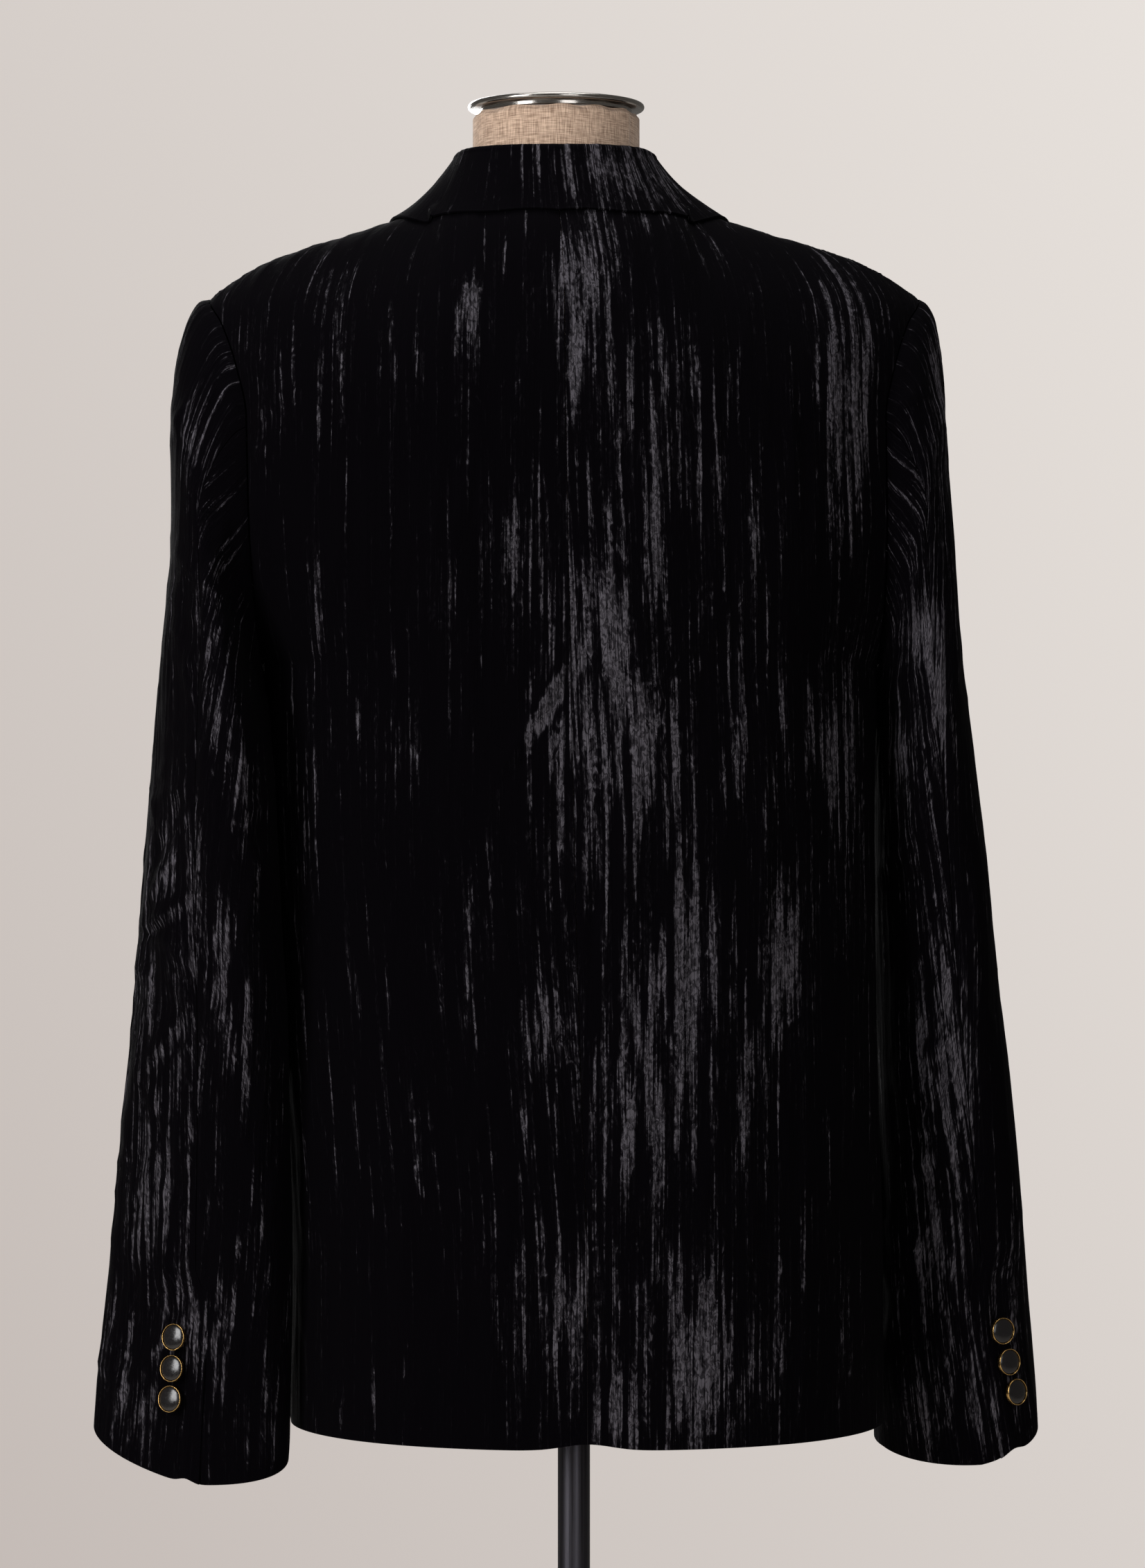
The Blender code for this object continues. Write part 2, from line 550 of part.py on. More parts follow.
def wall_mesh(name, outer, inner):
    """Closed mesh between two grids of the same size: both faces and the rim all round. Each face is
    cut into triangles the same way on both sides, and rims along a seam the same way too."""
    rows, columns = outer.shape[:2]
    n = rows * columns
    index = np.arange(n).reshape(rows, columns)
    a, b = index[:-1, :-1].ravel(), index[:-1, 1:].ravel()
    c, d = index[1:, 1:].ravel(), index[1:, :-1].ravel()
    faces = [np.stack(corners, 1) for corners in ((a, b, c), (a, c, d))]
    faces += [np.stack(corners, 1) + n for corners in ((c, b, a), (d, c, a))]
    for line, rising in ((index[0], True), (index[:, -1], True), (index[-1][::-1], False), (index[::-1, 0], False)):
        p, q = line[:-1], line[1:]
        if rising:
            faces += [np.stack((q, p, q + n), 1), np.stack((p, p + n, q + n), 1)]
        else:
            faces += [np.stack((q, p, p + n), 1), np.stack((q, p + n, q + n), 1)]
    points = np.concatenate([outer.reshape(-1, 3), inner.reshape(-1, 3)])
    mesh = bpy.data.meshes.new(name)
    mesh.from_pydata(points.tolist(), [], np.concatenate(faces).tolist())
    mesh.update()
    return mesh


def grid(first, second):
    return np.meshgrid(np.asarray(first, float), np.asarray(second, float))


def link(name, mesh, material, smooth=True):
    part = bpy.data.objects.new(name, mesh)
    bpy.context.scene.collection.objects.link(part)
    mesh.materials.append(material)
    if smooth:
        mesh.shade_smooth()
        mesh.set_sharp_from_angle(angle=np.radians(40))
    return part


def material(name, colour, roughness, metallic=0.0):
    made = bpy.data.materials.new(name)
    made.use_nodes = True
    shader = made.node_tree.nodes["Principled BSDF"]
    shader.inputs["Base Color"].default_value = (*colour, 1)
    shader.inputs["Roughness"].default_value = roughness
    shader.inputs["Metallic"].default_value = metallic
    return made


def body_rows():
    """Row parameters of the body panels, from hem to shoulder."""
    split = ROWS_BELOW_ARMHOLE / (ROWS_BELOW_ARMHOLE + ROWS_AT_ARMHOLE)
    below = np.linspace(0, split, ROWS_BELOW_ARMHOLE + 1)
    above = np.linspace(split, 1, ROWS_AT_ARMHOLE + 1)[1:]
    return np.concatenate([below, above])


def back_columns():
    """Column parameters of a back panel: even steps round the neckline's curve, then to the side."""
    turn = np.linspace(0, np.pi / 2, COLUMNS_TO_NECK_POINT + 1)
    inside = 2 / np.pi * np.arcsin(NECK_X * np.sin(turn) / SHOULDER_X)
    outside = np.linspace(inside[-1], 1, COLUMNS_PAST_NECK_POINT + 1)[1:]
    return np.concatenate([inside, outside])


def add_panel(name, surface, columns, side, cloth):
    """A body panel as a wall: its outer face, and the same moved in along the normals."""
    s, k = grid(columns, body_rows())
    outer = surface(s, k, side)
    normals = surface_normals(lambda p, q: surface(p, q, side), s, k)
    outward = np.sign(np.sum(normals[5, 5] * np.array([0, outer[5, 5, 1], 0])))
    inner = outer - WALL * outward * normals
    if outward < 0:
        outer, inner = outer[:, ::-1], inner[:, ::-1]
    return link(name, wall_mesh(name, outer, inner), cloth)


def sleeve_seam(table, v):
    """Angles of the back and front seams at each row of a sleeve."""
    return np.radians(sleeve(table, "seam", v)), np.radians(FRONT_SEAM_DEG) * np.ones_like(v)


def sleeve_wall(side, table, fold_table, name, columns, under, cloth):
    """The upper or the under sleeve as a wall between the two seams, 0.3 mm clear of each."""
    v_rows = np.concatenate([np.linspace(0, 0.10, 5), np.linspace(0.10, 1, SLEEVE_ROWS - 4)[1:]])
    k, v = grid(np.linspace(0, 1, columns + 1), v_rows)
    def gap_at(u, rows):
        step = sleeve_point(u + 0.01, rows, side, table, fold_table)
        step = step - sleeve_point(u - 0.01, rows, side, table, fold_table)
        return 0.85 * SEAM * 0.02 / np.linalg.norm(step, axis=-1)
    def angle(share, rows):
        back, front = sleeve_seam(table, rows)
        back_gap, front_gap = gap_at(back, rows), gap_at(front, rows)
        if under:
            first, last = back + back_gap, 2 * np.pi + front - front_gap
        else:
            first, last = front + front_gap, back - back_gap
        return first + (last - first) * share
    def surface(share, rows):
        return sleeve_point(angle(share, rows), rows, side, table, fold_table)
    outer = surface(k, v)
    normals = surface_normals(surface, k, v)
    if side < 0:
        normals = -normals
    axis = np.stack([side * (sleeve(table, "outer_x", v) + sleeve(table, "inner_x", v)) / 2,
                     sleeve(table, "mid_y", v),
                     (sleeve(table, "outer_z", v) + sleeve(table, "inner_z", v)) / 2], -1)
    facing = np.sign(np.sum(normals * (outer - axis), -1).mean())
    inner = outer - WALL * facing * normals
    if side * facing < 0:
        outer, inner = outer[:, ::-1], inner[:, ::-1]
    return link(name, wall_mesh(name, outer, inner), cloth)


def two_sided_wall(name, surface, first, second, thickness, cloth, flip):
    """A folded piece as a wall on both sides of its middle surface."""
    s, k = grid(first, second)
    middle = surface(s, k)
    normals = surface_normals(surface, s, k) * (-1 if flip else 1)
    outer, inner = middle + thickness / 2 * normals, middle - thickness / 2 * normals
    if flip:
        outer, inner = outer[:, ::-1], inner[:, ::-1]
    return link(name, wall_mesh(name, outer, inner), cloth)


def turned(name, profile, centre, axis, finish, segments, start=0.0):
    """A solid of revolution from (radius, height) pairs, about an axis through its centre."""
    axis = unit(np.asarray(axis, float))
    across = unit(np.cross(axis, [0.0, 0.3, 1.0] if abs(axis[2]) < 0.9 else [0.0, 1.0, 0.0]))
    third = np.cross(axis, across)
    angles = np.arange(segments) * 2 * np.pi / segments + start
    points, faces, rings = [], [], []
    for radius, height in profile:
        if radius == 0:
            rings.append([len(points)])
            points.append(np.asarray(centre) + height * axis)
            continue
        rings.append(list(range(len(points), len(points) + segments)))
        for angle in angles:
            spoke = np.cos(angle) * across + np.sin(angle) * third
            points.append(np.asarray(centre) + height * axis + radius * spoke)
    for low, high in zip(rings, rings[1:]):
        for i in range(segments):
            j = (i + 1) % segments
            if len(low) == 1:
                faces.append((low[0], high[j], high[i]))
            elif len(high) == 1:
                faces.append((low[i], low[j], high[0]))
            else:
                faces.append((low[i], low[j], high[j], high[i]))
    mesh = bpy.data.meshes.new(name)
    mesh.from_pydata([tuple(p) for p in points], [], faces)
    mesh.update()
    return link(name, mesh, finish)


def add_button(name, point, axis, radius, gilt, enamel):
    """A shank button: the gilt cup, and the enamel face set 0.3 mm clear inside its rim."""
    foot = 0.0004
    height = 0.42 * radius
    cup = [(0, foot), (0.34 * radius, foot), (0.34 * radius, foot + 0.0012), (radius, foot + 0.0018),
           (radius, foot + 0.0012 + height), (0.94 * radius, foot + 0.0016 + height),
           (0.88 * radius, foot + 0.0013 + height), (0.88 * radius, foot + 0.0030), (0, foot + 0.0030)]
    face_low, face_rim = foot + 0.0033, foot + 0.0012 + height
    inside = 0.88 * radius - SEAM
    face = [(0, face_low), (inside, face_low), (inside, face_rim - 0.0002), (0.70 * inside, face_rim + 0.0006),
            (0, face_rim + 0.0010)]
    turned(name + "_cup", cup, point, axis, gilt, BUTTON_SEGMENTS)
    turned(name + "_face", face, point, axis, enamel, BUTTON_SEGMENTS)


def cuff_buttons(side, table, fold_table, tilt, gilt, enamel):
    """Three buttons up the back seam of one cuff, seated on the sleeve's outer face."""
    word = "left" if side > 0 else "right"
    for number, height in enumerate(CUFF_BUTTON_HEIGHTS, 1):
        low, high = np.array(0.5), np.array(1.0)
        for _ in range(30):
            v = (low + high) / 2
            u = sleeve_seam(table, v)[0] - np.radians(9)
            above = sleeve_point(u, v, side, table, fold_table)[..., 2] > height
            low, high = (v, high) if above else (low, v)
        def near(du, dv):
            return sleeve_point(u + du, v + dv, side, table, fold_table)
        normal = unit(np.cross(near(0.02, 0) - near(-0.02, 0), near(0, 0.004) - near(0, -0.004)))
        point = near(0, 0)
        if normal[1] < 0:
            normal = -normal
        add_button(f"cuff_button_{word}_{number}", point + normal * 0.0006, normal + np.array(tilt),
                   CUFF_BUTTON_RADIUS, gilt, enamel)


def form_point(s, k, facing):
    """The dress form under the cloth: the same surface set in by the cloth and a gap that is small
    along the shoulders and grows below, at the neck and towards the arms."""
    neck_z = NECK_BACK_Z if facing > 0 else NECK_FRONT_Z
    def surface(p, q):
        def across(z):
            return body("half", z) * np.sin(np.pi / 2 * p)
        top = np.full(np.broadcast(p, q).shape, SHOULDER_Z)
        for _ in range(10):
            top = top_z(across(top), neck_z)
        split, raised = rows_up(q, top)
        z = FORM_BOTTOM_Z + (UNDERARM_Z - FORM_BOTTOM_Z) * np.clip(q / split, 0, 1) + raised
        x = across(z)
        return np.stack([x, cloth_y(x, z, facing), z], -1)
    point = surface(s, k)
    normals = surface_normals(surface, s, k)
    normals = normals * np.sign(normals[8, 3, 1]) * facing
    top = top_z(point[..., 0], neck_z)
    below = ease((top - point[..., 2] - 0.012) / 0.10)
    at_neck = ease((NECK_X + 0.012 - point[..., 0]) / 0.012) * (1 - below)
    inset = WALL + FORM_GAP + 0.010 * below + 0.003 * at_neck
    point = point - inset[..., None] * normals
    point[..., 0] -= 0.010 * ease((s - 0.66) / 0.34)
    point[..., 0] = np.where(s <= 0, 0.0, np.maximum(point[..., 0], 0.0))
    point[..., 1] = np.where(s >= 1, facing * np.maximum(facing * point[..., 1], 0.0), point[..., 1])
    point[..., 2] = np.where(k <= 0, FORM_BOTTOM_Z, point[..., 2])
    return point


def dress_form(linen):
    """Torso and neck as one closed skin. Each ring runs round the back and then the front; the top
    ring's two shoulder lines are one line, and the neck rises from what is left of it."""
    half = np.concatenate([back_columns()[[0, 2]], back_columns()[COLUMNS_TO_NECK_POINT:]])
    rows = np.concatenate([body_rows()[0:ROWS_BELOW_ARMHOLE:2], body_rows()[ROWS_BELOW_ARMHOLE:]])
    neck_column = 2
    s, k = grid(half, rows)
    back, front = form_point(s, k, 1), form_point(s, k, -1)
    middle = (back[-1, neck_column:] + front[-1, neck_column:]) / 2
    middle[:, 1] = 0.0
    back[-1, neck_column:] = front[-1, neck_column:] = middle
    mirror = np.array([-1.0, 1.0, 1.0])
    def shifted(points):
        moved = points.copy()
        moved[..., 0] += body("lean", moved[..., 2])
        return moved
    ring = np.concatenate([back[:, ::-1], back[:, 1:] * mirror, front[:, ::-1] * mirror, front[:, 1:]], 1)
    ring = shifted(ring)
    count = ring.shape[1]
    points = [tuple(p) for p in ring.reshape(-1, 3)]
    faces = []
    for row in range(len(rows) - 1):
        for i in range(count):
            j = (i + 1) % count
            a, b = row * count + i, row * count + j
            faces.append((a, b, b + count, a + count))
    faces.append(tuple(range(count))[::-1])
    top = (len(rows) - 1) * count
    outer = len(half) - 1 - neck_column
    size = 2 * len(half) - 1
    back_loop = list(range(top + outer, top + size - outer))
    front_loop = list(range(top + size + outer, top + 2 * size - outer))
    loop = back_loop + front_loop[1:-1]
    base = np.array([points[i] for i in loop])
    angles = np.arctan2(base[:, 1] - NECK_CENTRE[1], base[:, 0] - NECK_CENTRE[0])
    circle = np.stack([NECK_CENTRE[0] + NECK_RADIUS * np.cos(angles),
                       NECK_CENTRE[1] + NECK_RADIUS * np.sin(angles)], -1)
    last = loop
    for share, height in ((0.50, 0.10), (0.80, 0.24), (0.95, 0.42), (1.0, 0.62), (1.0, 1.0)):
        ring_points = base.copy()
        ring_points[:, :2] = base[:, :2] + (circle - base[:, :2]) * share
        ring_points[:, 2] = base[:, 2] + (NECK_TOP_Z - base[:, 2]) * height
        new = list(range(len(points), len(points) + len(loop)))
        points += [tuple(p) for p in ring_points]
        for i in range(len(loop)):
            j = (i + 1) % len(loop)
            faces.append((last[i], last[j], new[j], new[i]))
        last = new
    faces.append(tuple(last))
    mesh = bpy.data.meshes.new("dress_form")
    mesh.from_pydata(points, [], faces)
    mesh.validate()
    import bmesh
    work = bmesh.new()
    work.from_mesh(mesh)
    bmesh.ops.remove_doubles(work, verts=work.verts, dist=0.00005)
    bmesh.ops.dissolve_degenerate(work, dist=0.00005, edges=work.edges)
    bmesh.ops.recalc_face_normals(work, faces=work.faces)
    work.to_mesh(mesh)
    work.free()
    return link("dress_form", mesh, linen)


def stand(steel):
    """Neck cap, pole, the flange under the form, and the round base with its hub."""
    cap_z = NECK_TOP_Z + SEAM
    cap = [(0, 0), (NECK_RADIUS - 0.0045, 0), (NECK_RADIUS - 0.0045, CAP_LIFT), (CAP_RADIUS - 0.0008, CAP_LIFT),
           (CAP_RADIUS, CAP_LIFT + 0.0008), (CAP_RADIUS, CAP_LIFT + CAP_HEIGHT - 0.0008),
           (CAP_RADIUS - 0.0008, CAP_LIFT + CAP_HEIGHT), (CAP_RADIUS - 0.012, CAP_LIFT + CAP_HEIGHT + 0.0008),
           (0, CAP_LIFT + CAP_HEIGHT + 0.0016)]
    turned("neck_cap", cap, (*NECK_CENTRE, cap_z), (0, 0, 1), steel, 32)
    flange_z = FORM_BOTTOM_Z - SEAM - FLANGE_HEIGHT
    flange = [(0, 0), (0.016, 0), (FLANGE_RADIUS, 0.002), (FLANGE_RADIUS, FLANGE_HEIGHT), (0, FLANGE_HEIGHT)]
    turned("pole_flange", flange, (0, 0, flange_z), (0, 0, 1), steel, 24)
    foot_z = BASE_HEIGHT + SEAM
    pole = [(0, 0), (POLE_RADIUS, 0), (POLE_RADIUS, flange_z - SEAM - foot_z), (0, flange_z - SEAM - foot_z)]
    turned("pole", pole, (0, 0, foot_z), (0, 0, 1), steel, 24)
    base = [(0, 0), (BASE_RADIUS - 0.002, 0), (BASE_RADIUS, 0.002), (BASE_RADIUS, BASE_HEIGHT - 0.002),
            (BASE_RADIUS - 0.002, BASE_HEIGHT), (0, BASE_HEIGHT)]
    turned("base_plate", base, (0, 0, 0), (0, 0, 1), steel, 40)
    bore = POLE_RADIUS + SEAM
    hub = [(bore, SEAM), (HUB_RADIUS + 0.004, SEAM), (HUB_RADIUS + 0.004, 0.004), (HUB_RADIUS - 0.004, 0.010),
           (HUB_RADIUS - 0.006, HUB_HEIGHT - 0.002), (HUB_RADIUS - 0.008, HUB_HEIGHT), (bore, HUB_HEIGHT),
           (bore, SEAM)]
    ring_solid("base_hub", hub, (0, 0, BASE_HEIGHT), steel, 24)


def ring_solid(name, profile, centre, finish, segments):
    """A turned ring from a closed loop of (radius, height) pairs."""
    angles = np.arange(segments) * 2 * np.pi / segments
    loop = np.array(profile[:-1])
    points = np.stack([loop[None, :, 0] * np.cos(angles)[:, None] + centre[0],
                       loop[None, :, 0] * np.sin(angles)[:, None] + centre[1],
                       np.broadcast_to(loop[None, :, 1] + centre[2], (segments, len(loop)))], -1)
    count = len(loop)
    faces = []
    for i in range(segments):
        j = (i + 1) % segments
        for m in range(count):
            n = (m + 1) % count
            faces.append((i * count + m, j * count + m, j * count + n, i * count + n))
    mesh = bpy.data.meshes.new(name)
    mesh.from_pydata([tuple(p) for p in points.reshape(-1, 3)], [], faces)
    mesh.update()
    return link(name, mesh, finish)


def main():
    for old in list(bpy.data.objects):
        bpy.data.objects.remove(old)
    velvet = material("velvet", VELVET, 0.75)
    enamel = material("enamel", ENAMEL, 0.12)
    gilt = material("gilt", GILT, 0.22, 1.0)
    linen = material("linen", LINEN, 0.9)
    steel = material("steel", STEEL, 0.28, 1.0)

    for side, word in ((1, "left"), (-1, "right")):
        add_panel(f"back_{word}", back_point, back_columns(), side, velvet)
        add_panel(f"front_{word}", front_point, np.array(FRONT_STEPS), side, velvet)
        two_sided_wall(
            f"lapel_{word}", lambda b, v, side=side: lapel_point(v, b, side),
            np.concatenate([np.linspace(0, 0.25, 4), np.linspace(0.25, 1, LAPEL_COLUMNS_ACROSS)[1:]]),
            1 - (1 - np.linspace(0, 1, LAPEL_ROWS + 1)) ** 1.4, LAPEL_WALL, velvet, flip=side < 0)
    for side, word, table, fold_table, tilt in (
            (1, "left", SLEEVE_LEFT, SLEEVE_FOLDS_LEFT, (0.0, 0.0, 0.18)),
            (-1, "right", SLEEVE_RIGHT, SLEEVE_FOLDS_RIGHT, (-0.35, 0.0, 0.10))):
        sleeve_wall(side, table, fold_table, f"upper_sleeve_{word}", UPPER_SLEEVE_COLUMNS, False, velvet)
        sleeve_wall(side, table, fold_table, f"under_sleeve_{word}", UNDER_SLEEVE_COLUMNS, True, velvet)
        cuff_buttons(side, table, fold_table, tilt, gilt, enamel)
    two_sided_wall(
        "collar", lambda b, a: collar_point(a, b),
        np.array([0, 0.10, 0.20, 0.30, 0.35, 0.40, 0.45, 0.50, 0.55, 0.66, 0.77, 0.88, 1.0]),
        np.linspace(-1, 1, 2 * COLLAR_STEPS + 1), COLLAR_WALL, velvet, flip=False)
    front_spot = front_face(np.array(-0.001), np.array(FRONT_BUTTON_Z), -1, np.array(0.0006))
    add_button("front_button", front_spot, (0, -1, 0.02), FRONT_BUTTON_RADIUS, gilt, enamel)
    dress_form(linen)
    stand(steel)


main()
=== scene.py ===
# %% [markdown]
# # A crushed-velvet blazer on a dress form
#
# The object is a black velvet blazer, seen from behind, on a limbless dress form with a steel neck
# cap, a pole and a round base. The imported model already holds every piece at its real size, as plain
# smooth walls. This lesson dresses that frame: each cloth piece is made again as a thin, finely
# creased shell on the same surface, and each finish gets its own material.

# %% Load the frame
import bpy
import numpy as np
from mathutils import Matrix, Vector


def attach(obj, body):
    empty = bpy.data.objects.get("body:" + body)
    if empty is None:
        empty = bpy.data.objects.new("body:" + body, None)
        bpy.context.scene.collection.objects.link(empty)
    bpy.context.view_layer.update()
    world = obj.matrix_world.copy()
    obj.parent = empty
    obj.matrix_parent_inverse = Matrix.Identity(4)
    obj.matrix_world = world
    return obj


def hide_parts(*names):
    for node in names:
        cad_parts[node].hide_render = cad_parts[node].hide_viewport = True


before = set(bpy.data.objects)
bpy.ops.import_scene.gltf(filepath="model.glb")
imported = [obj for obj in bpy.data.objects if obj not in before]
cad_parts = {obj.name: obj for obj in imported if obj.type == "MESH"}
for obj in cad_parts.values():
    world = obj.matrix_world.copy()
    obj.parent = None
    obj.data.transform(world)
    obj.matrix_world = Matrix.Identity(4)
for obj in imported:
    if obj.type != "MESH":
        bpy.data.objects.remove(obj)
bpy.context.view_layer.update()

# %% [markdown]
# ## Where the camera stands
#
# The picture was taken from behind with a long lens at chest height. A long lens flattens the view,
# so the width of the shoulders and of the hem can be compared directly. One pixel of the 1652 x 2263
# frame is 0.4 mm at the pole, which fixes the distance once the lens is known.

# %% Camera
IMAGE_HEIGHT_PX = 2263
METRES_PER_PIXEL = 0.0004
CAMERA_HEIGHT = 1.128
LENS_MM = 105.3
SENSOR_MM = 36.0
distance = LENS_MM / SENSOR_MM * IMAGE_HEIGHT_PX * METRES_PER_PIXEL

camera_data = bpy.data.cameras.new("camera")
camera_data.lens = LENS_MM
camera_data.sensor_width = SENSOR_MM
camera = bpy.data.objects.new("camera", camera_data)
camera.location = (0.0008, distance, CAMERA_HEIGHT)
camera.rotation_euler = (np.radians(90), 0, np.radians(180))
bpy.context.scene.collection.objects.link(camera)
bpy.context.scene.camera = camera
print(f"camera {distance:.3f} m behind the pole, {CAMERA_HEIGHT} m up")

# %% [markdown]
# ## Smooth curves through short tables
#
# The body and the sleeves are described by small tables, as a pattern maker writes measures down at
# a few heights. A curve through them must not overshoot, or the cloth would get a bulge that nobody
# measured, so each span is a cubic whose end slopes are the harmonic mean of the slopes beside it.

# %% Curve helpers
def follow(at, xs, ys):
    """Cubic through (xs, ys) on each span, with the harmonic mean of neighbouring slopes as slope."""
    at = np.clip(np.asarray(at, float), xs[0], xs[-1])
    rise = np.diff(ys) / np.diff(xs)
    slope = np.zeros(len(xs))
    slope[0], slope[-1] = rise[0], rise[-1]
    same_way = rise[1:] * rise[:-1] > 0
    sums = np.where(same_way, rise[1:] + rise[:-1], 1.0)
    slope[1:-1] = np.where(same_way, 2 * rise[1:] * rise[:-1] / sums, 0.0)
    i = np.clip(np.searchsorted(xs, at, side="right") - 1, 0, len(xs) - 2)
    span = xs[i + 1] - xs[i]
    t = (at - xs[i]) / span
    bend = (1 - t) * t * ((slope[i] - rise[i]) * (1 - t) - (slope[i + 1] - rise[i]) * t)
    return ys[i] + (ys[i + 1] - ys[i]) * t + span * bend


def column(table, names, name, at):
    """A named column of a table at some values of its first column."""
    return follow(at, table[:, 0], table[:, names.index(name)])


def ease(t):
    """3t^2 - 2t^3, held to 0 and 1 outside: a step with no corner at either end."""
    t = np.clip(t, 0, 1)
    return t * t * (3 - 2 * t)


def unit(v):
    """Each vector divided by its own length."""
    return v / np.maximum(np.linalg.norm(v, axis=-1, keepdims=True), 1e-12)


print("a quarter of the way, ease gives", ease(0.25))

# %% [markdown]
# ## The body of the blazer
#
# A blazer's back is two panels that meet at the centre seam and end at the side seams and armholes.
# Seen from above, each height is a flattened ellipse. The depth of the cloth at a point is therefore
# one formula in x and z, which back, fronts, lapels and collar all share, so that they fit together.

# %% Measures of the body
WALL = 0.0016
COLLAR_WALL = 0.0020
LAPEL_WALL = 0.0018
SEAM = 0.0003
ARMHOLE_GAP = 0.0006
HEM_Z = 0.7615
FRONT_HEM_Z = 0.7600
UNDERARM_Z = 1.1965
SHOULDER_Z = 1.4078
SHOULDER_X = 0.2040
NECK_X = 0.0740
NECK_SIDE_Z = 1.4585
NECK_BACK_Z, NECK_BACK_Y = 1.4560, 0.0680
NECK_FRONT_Z, NECK_FRONT_Y = 1.4000, -0.0560
SHOULDER_ROUNDING = 0.110
SECTION_POWER = 2.35
ARMHOLE_BACK, ARMHOLE_FRONT, ARMHOLE_ROUND_Z = 0.0620, 0.0560, 1.2900

BODY_COLUMNS = ("z", "half", "back", "front", "lean")
BODY = np.array([
    (0.700, 0.1712, 0.1290, -0.1200, -0.0075),
    (0.762, 0.1710, 0.1280, -0.1190, -0.0075),
    (0.870, 0.1708, 0.1270, -0.1180, -0.0070),
    (0.960, 0.1715, 0.1230, -0.1130, -0.0040),
    (1.060, 0.1728, 0.1140, -0.1070, -0.0010),
    (1.150, 0.1748, 0.1120, -0.1120, 0.0010),
    (1.197, 0.1765, 0.1140, -0.1180, 0.0020),
    (1.235, 0.1785, 0.1160, -0.1190, 0.0026),
    (1.275, 0.1797, 0.1180, -0.1180, 0.0034),
    (1.335, 0.1802, 0.1180, -0.1140, 0.0044),
    (1.366, 0.1865, 0.1150, -0.1100, 0.0048),
    (1.390, 0.1950, 0.1120, -0.1060, 0.0052),
    (1.4078, 0.2040, 0.1100, -0.1030, 0.0055),
    (1.455, 0.2040, 0.1075, -0.1000, 0.0085),
    (1.490, 0.2040, 0.1060, -0.0980, 0.0108),
    (1.530, 0.2040, 0.1060, -0.0980, 0.0108),
])
SHOULDER = np.array([
    (0.0740, 1.4585), (0.0900, 1.4543), (0.1034, 1.4502), (0.1208, 1.4446), (0.1400, 1.4390),
    (0.1578, 1.4334), (0.1722, 1.4278), (0.1828, 1.4222), (0.1918, 1.4166), (0.2000, 1.4110),
    (0.2040, 1.4078), (0.2600, 1.3600),
])
# The largest folds, which the solids have too: place, half length, width, height, slant
BACK_FOLDS = np.array([
    (-0.034, 1.14, 0.24, 0.022, 0.0026, 0.00),
    (-0.082, 1.00, 0.24, 0.020, 0.0024, -0.03),
    (-0.122, 1.22, 0.20, 0.020, 0.0024, -0.05),
    (-0.128, 0.90, 0.16, 0.020, 0.0030, -0.04),
    (0.030, 0.98, 0.20, 0.021, 0.0022, 0.05),
    (0.066, 1.20, 0.18, 0.022, 0.0026, 0.04),
    (0.110, 1.02, 0.22, 0.021, 0.0026, 0.04),
    (0.050, 0.84, 0.10, 0.020, 0.0024, 0.05),
])
FRONT_FOLDS = np.array([
    (0.080, 0.92, 0.14, 0.022, 0.0026, -0.03),
    (0.132, 1.02, 0.20, 0.021, 0.0026, 0.05),
    (0.038, 0.98, 0.08, 0.018, 0.0020, 0.30),
])


def body(name, z):
    """A measure of the body at a height."""
    return column(BODY, BODY_COLUMNS, name, z)


print(f"hem {2 * body('half', HEM_Z):.3f} m wide, shoulders {2 * SHOULDER_X:.3f} m")

# %% Depth of the cloth
def top_z(x, neck_z):
    """Height of the top edge at x: a parabola for the neckline, the shoulder line outside it."""
    x = np.abs(x)
    neckline = neck_z + (NECK_SIDE_Z - neck_z) * np.clip(x / NECK_X, 0, 1) ** 2
    return np.where(x < NECK_X, neckline, follow(x, SHOULDER[:, 0], SHOULDER[:, 1]))


def armhole_spread(z):
    """A quarter ellipse from 0 at the underarm to 1 at the armhole's middle."""
    below = np.clip((ARMHOLE_ROUND_Z - z) / (ARMHOLE_ROUND_Z - UNDERARM_Z), 0, 1)
    return np.sqrt(1 - below ** 2)


def folds(table, x, z):
    """Sum of soft ridges: a bell across each fold, fading towards its ends."""
    total = np.zeros(np.broadcast(x, z).shape)
    for fold_x, fold_z, half_length, width, height, lean in table:
        along = (z - fold_z) / half_length
        across = (x - fold_x - lean * (z - fold_z)) / width
        total = total + height * np.exp(-across ** 2) * np.clip(1 - along ** 2, 0, 1) ** 1.5
    return total


def cloth_y(x, z, facing):
    """Depth at (x, z): a flattened ellipse across, closed on a quarter ellipse up to the top edge.
    facing is 1 for the back and -1 for the front."""
    if facing > 0:
        depth, spread, neck_z, neck_y = body("back", z), ARMHOLE_BACK, NECK_BACK_Z, NECK_BACK_Y
        relief = folds(BACK_FOLDS, x, z)
    else:
        depth, spread, neck_z, neck_y = -body("front", z), ARMHOLE_FRONT, NECK_FRONT_Z, -NECK_FRONT_Y
        relief = folds(FRONT_FOLDS, np.abs(x), z)
    half = body("half", z)
    side = spread * armhole_spread(z)
    wide = half / (1 - (side / depth) ** 2) ** (1 / SECTION_POWER)
    full = depth * np.sqrt(np.clip(1 - (np.abs(x) / wide) ** SECTION_POWER, 0, 1))
    full = SEAM / 2 + full + relief * ease((half - np.abs(x)) / 0.035)
    inside = np.clip(np.abs(x) / NECK_X, 0, 1)
    start = SEAM / 2 + (neck_y - SEAM / 2) * (1 - inside ** 2.2) ** 0.6
    drop = np.clip((top_z(x, neck_z) - z) / SHOULDER_ROUNDING, 0, 1)
    return facing * (start + (full - start) * np.sqrt(1 - (1 - drop) ** 2))


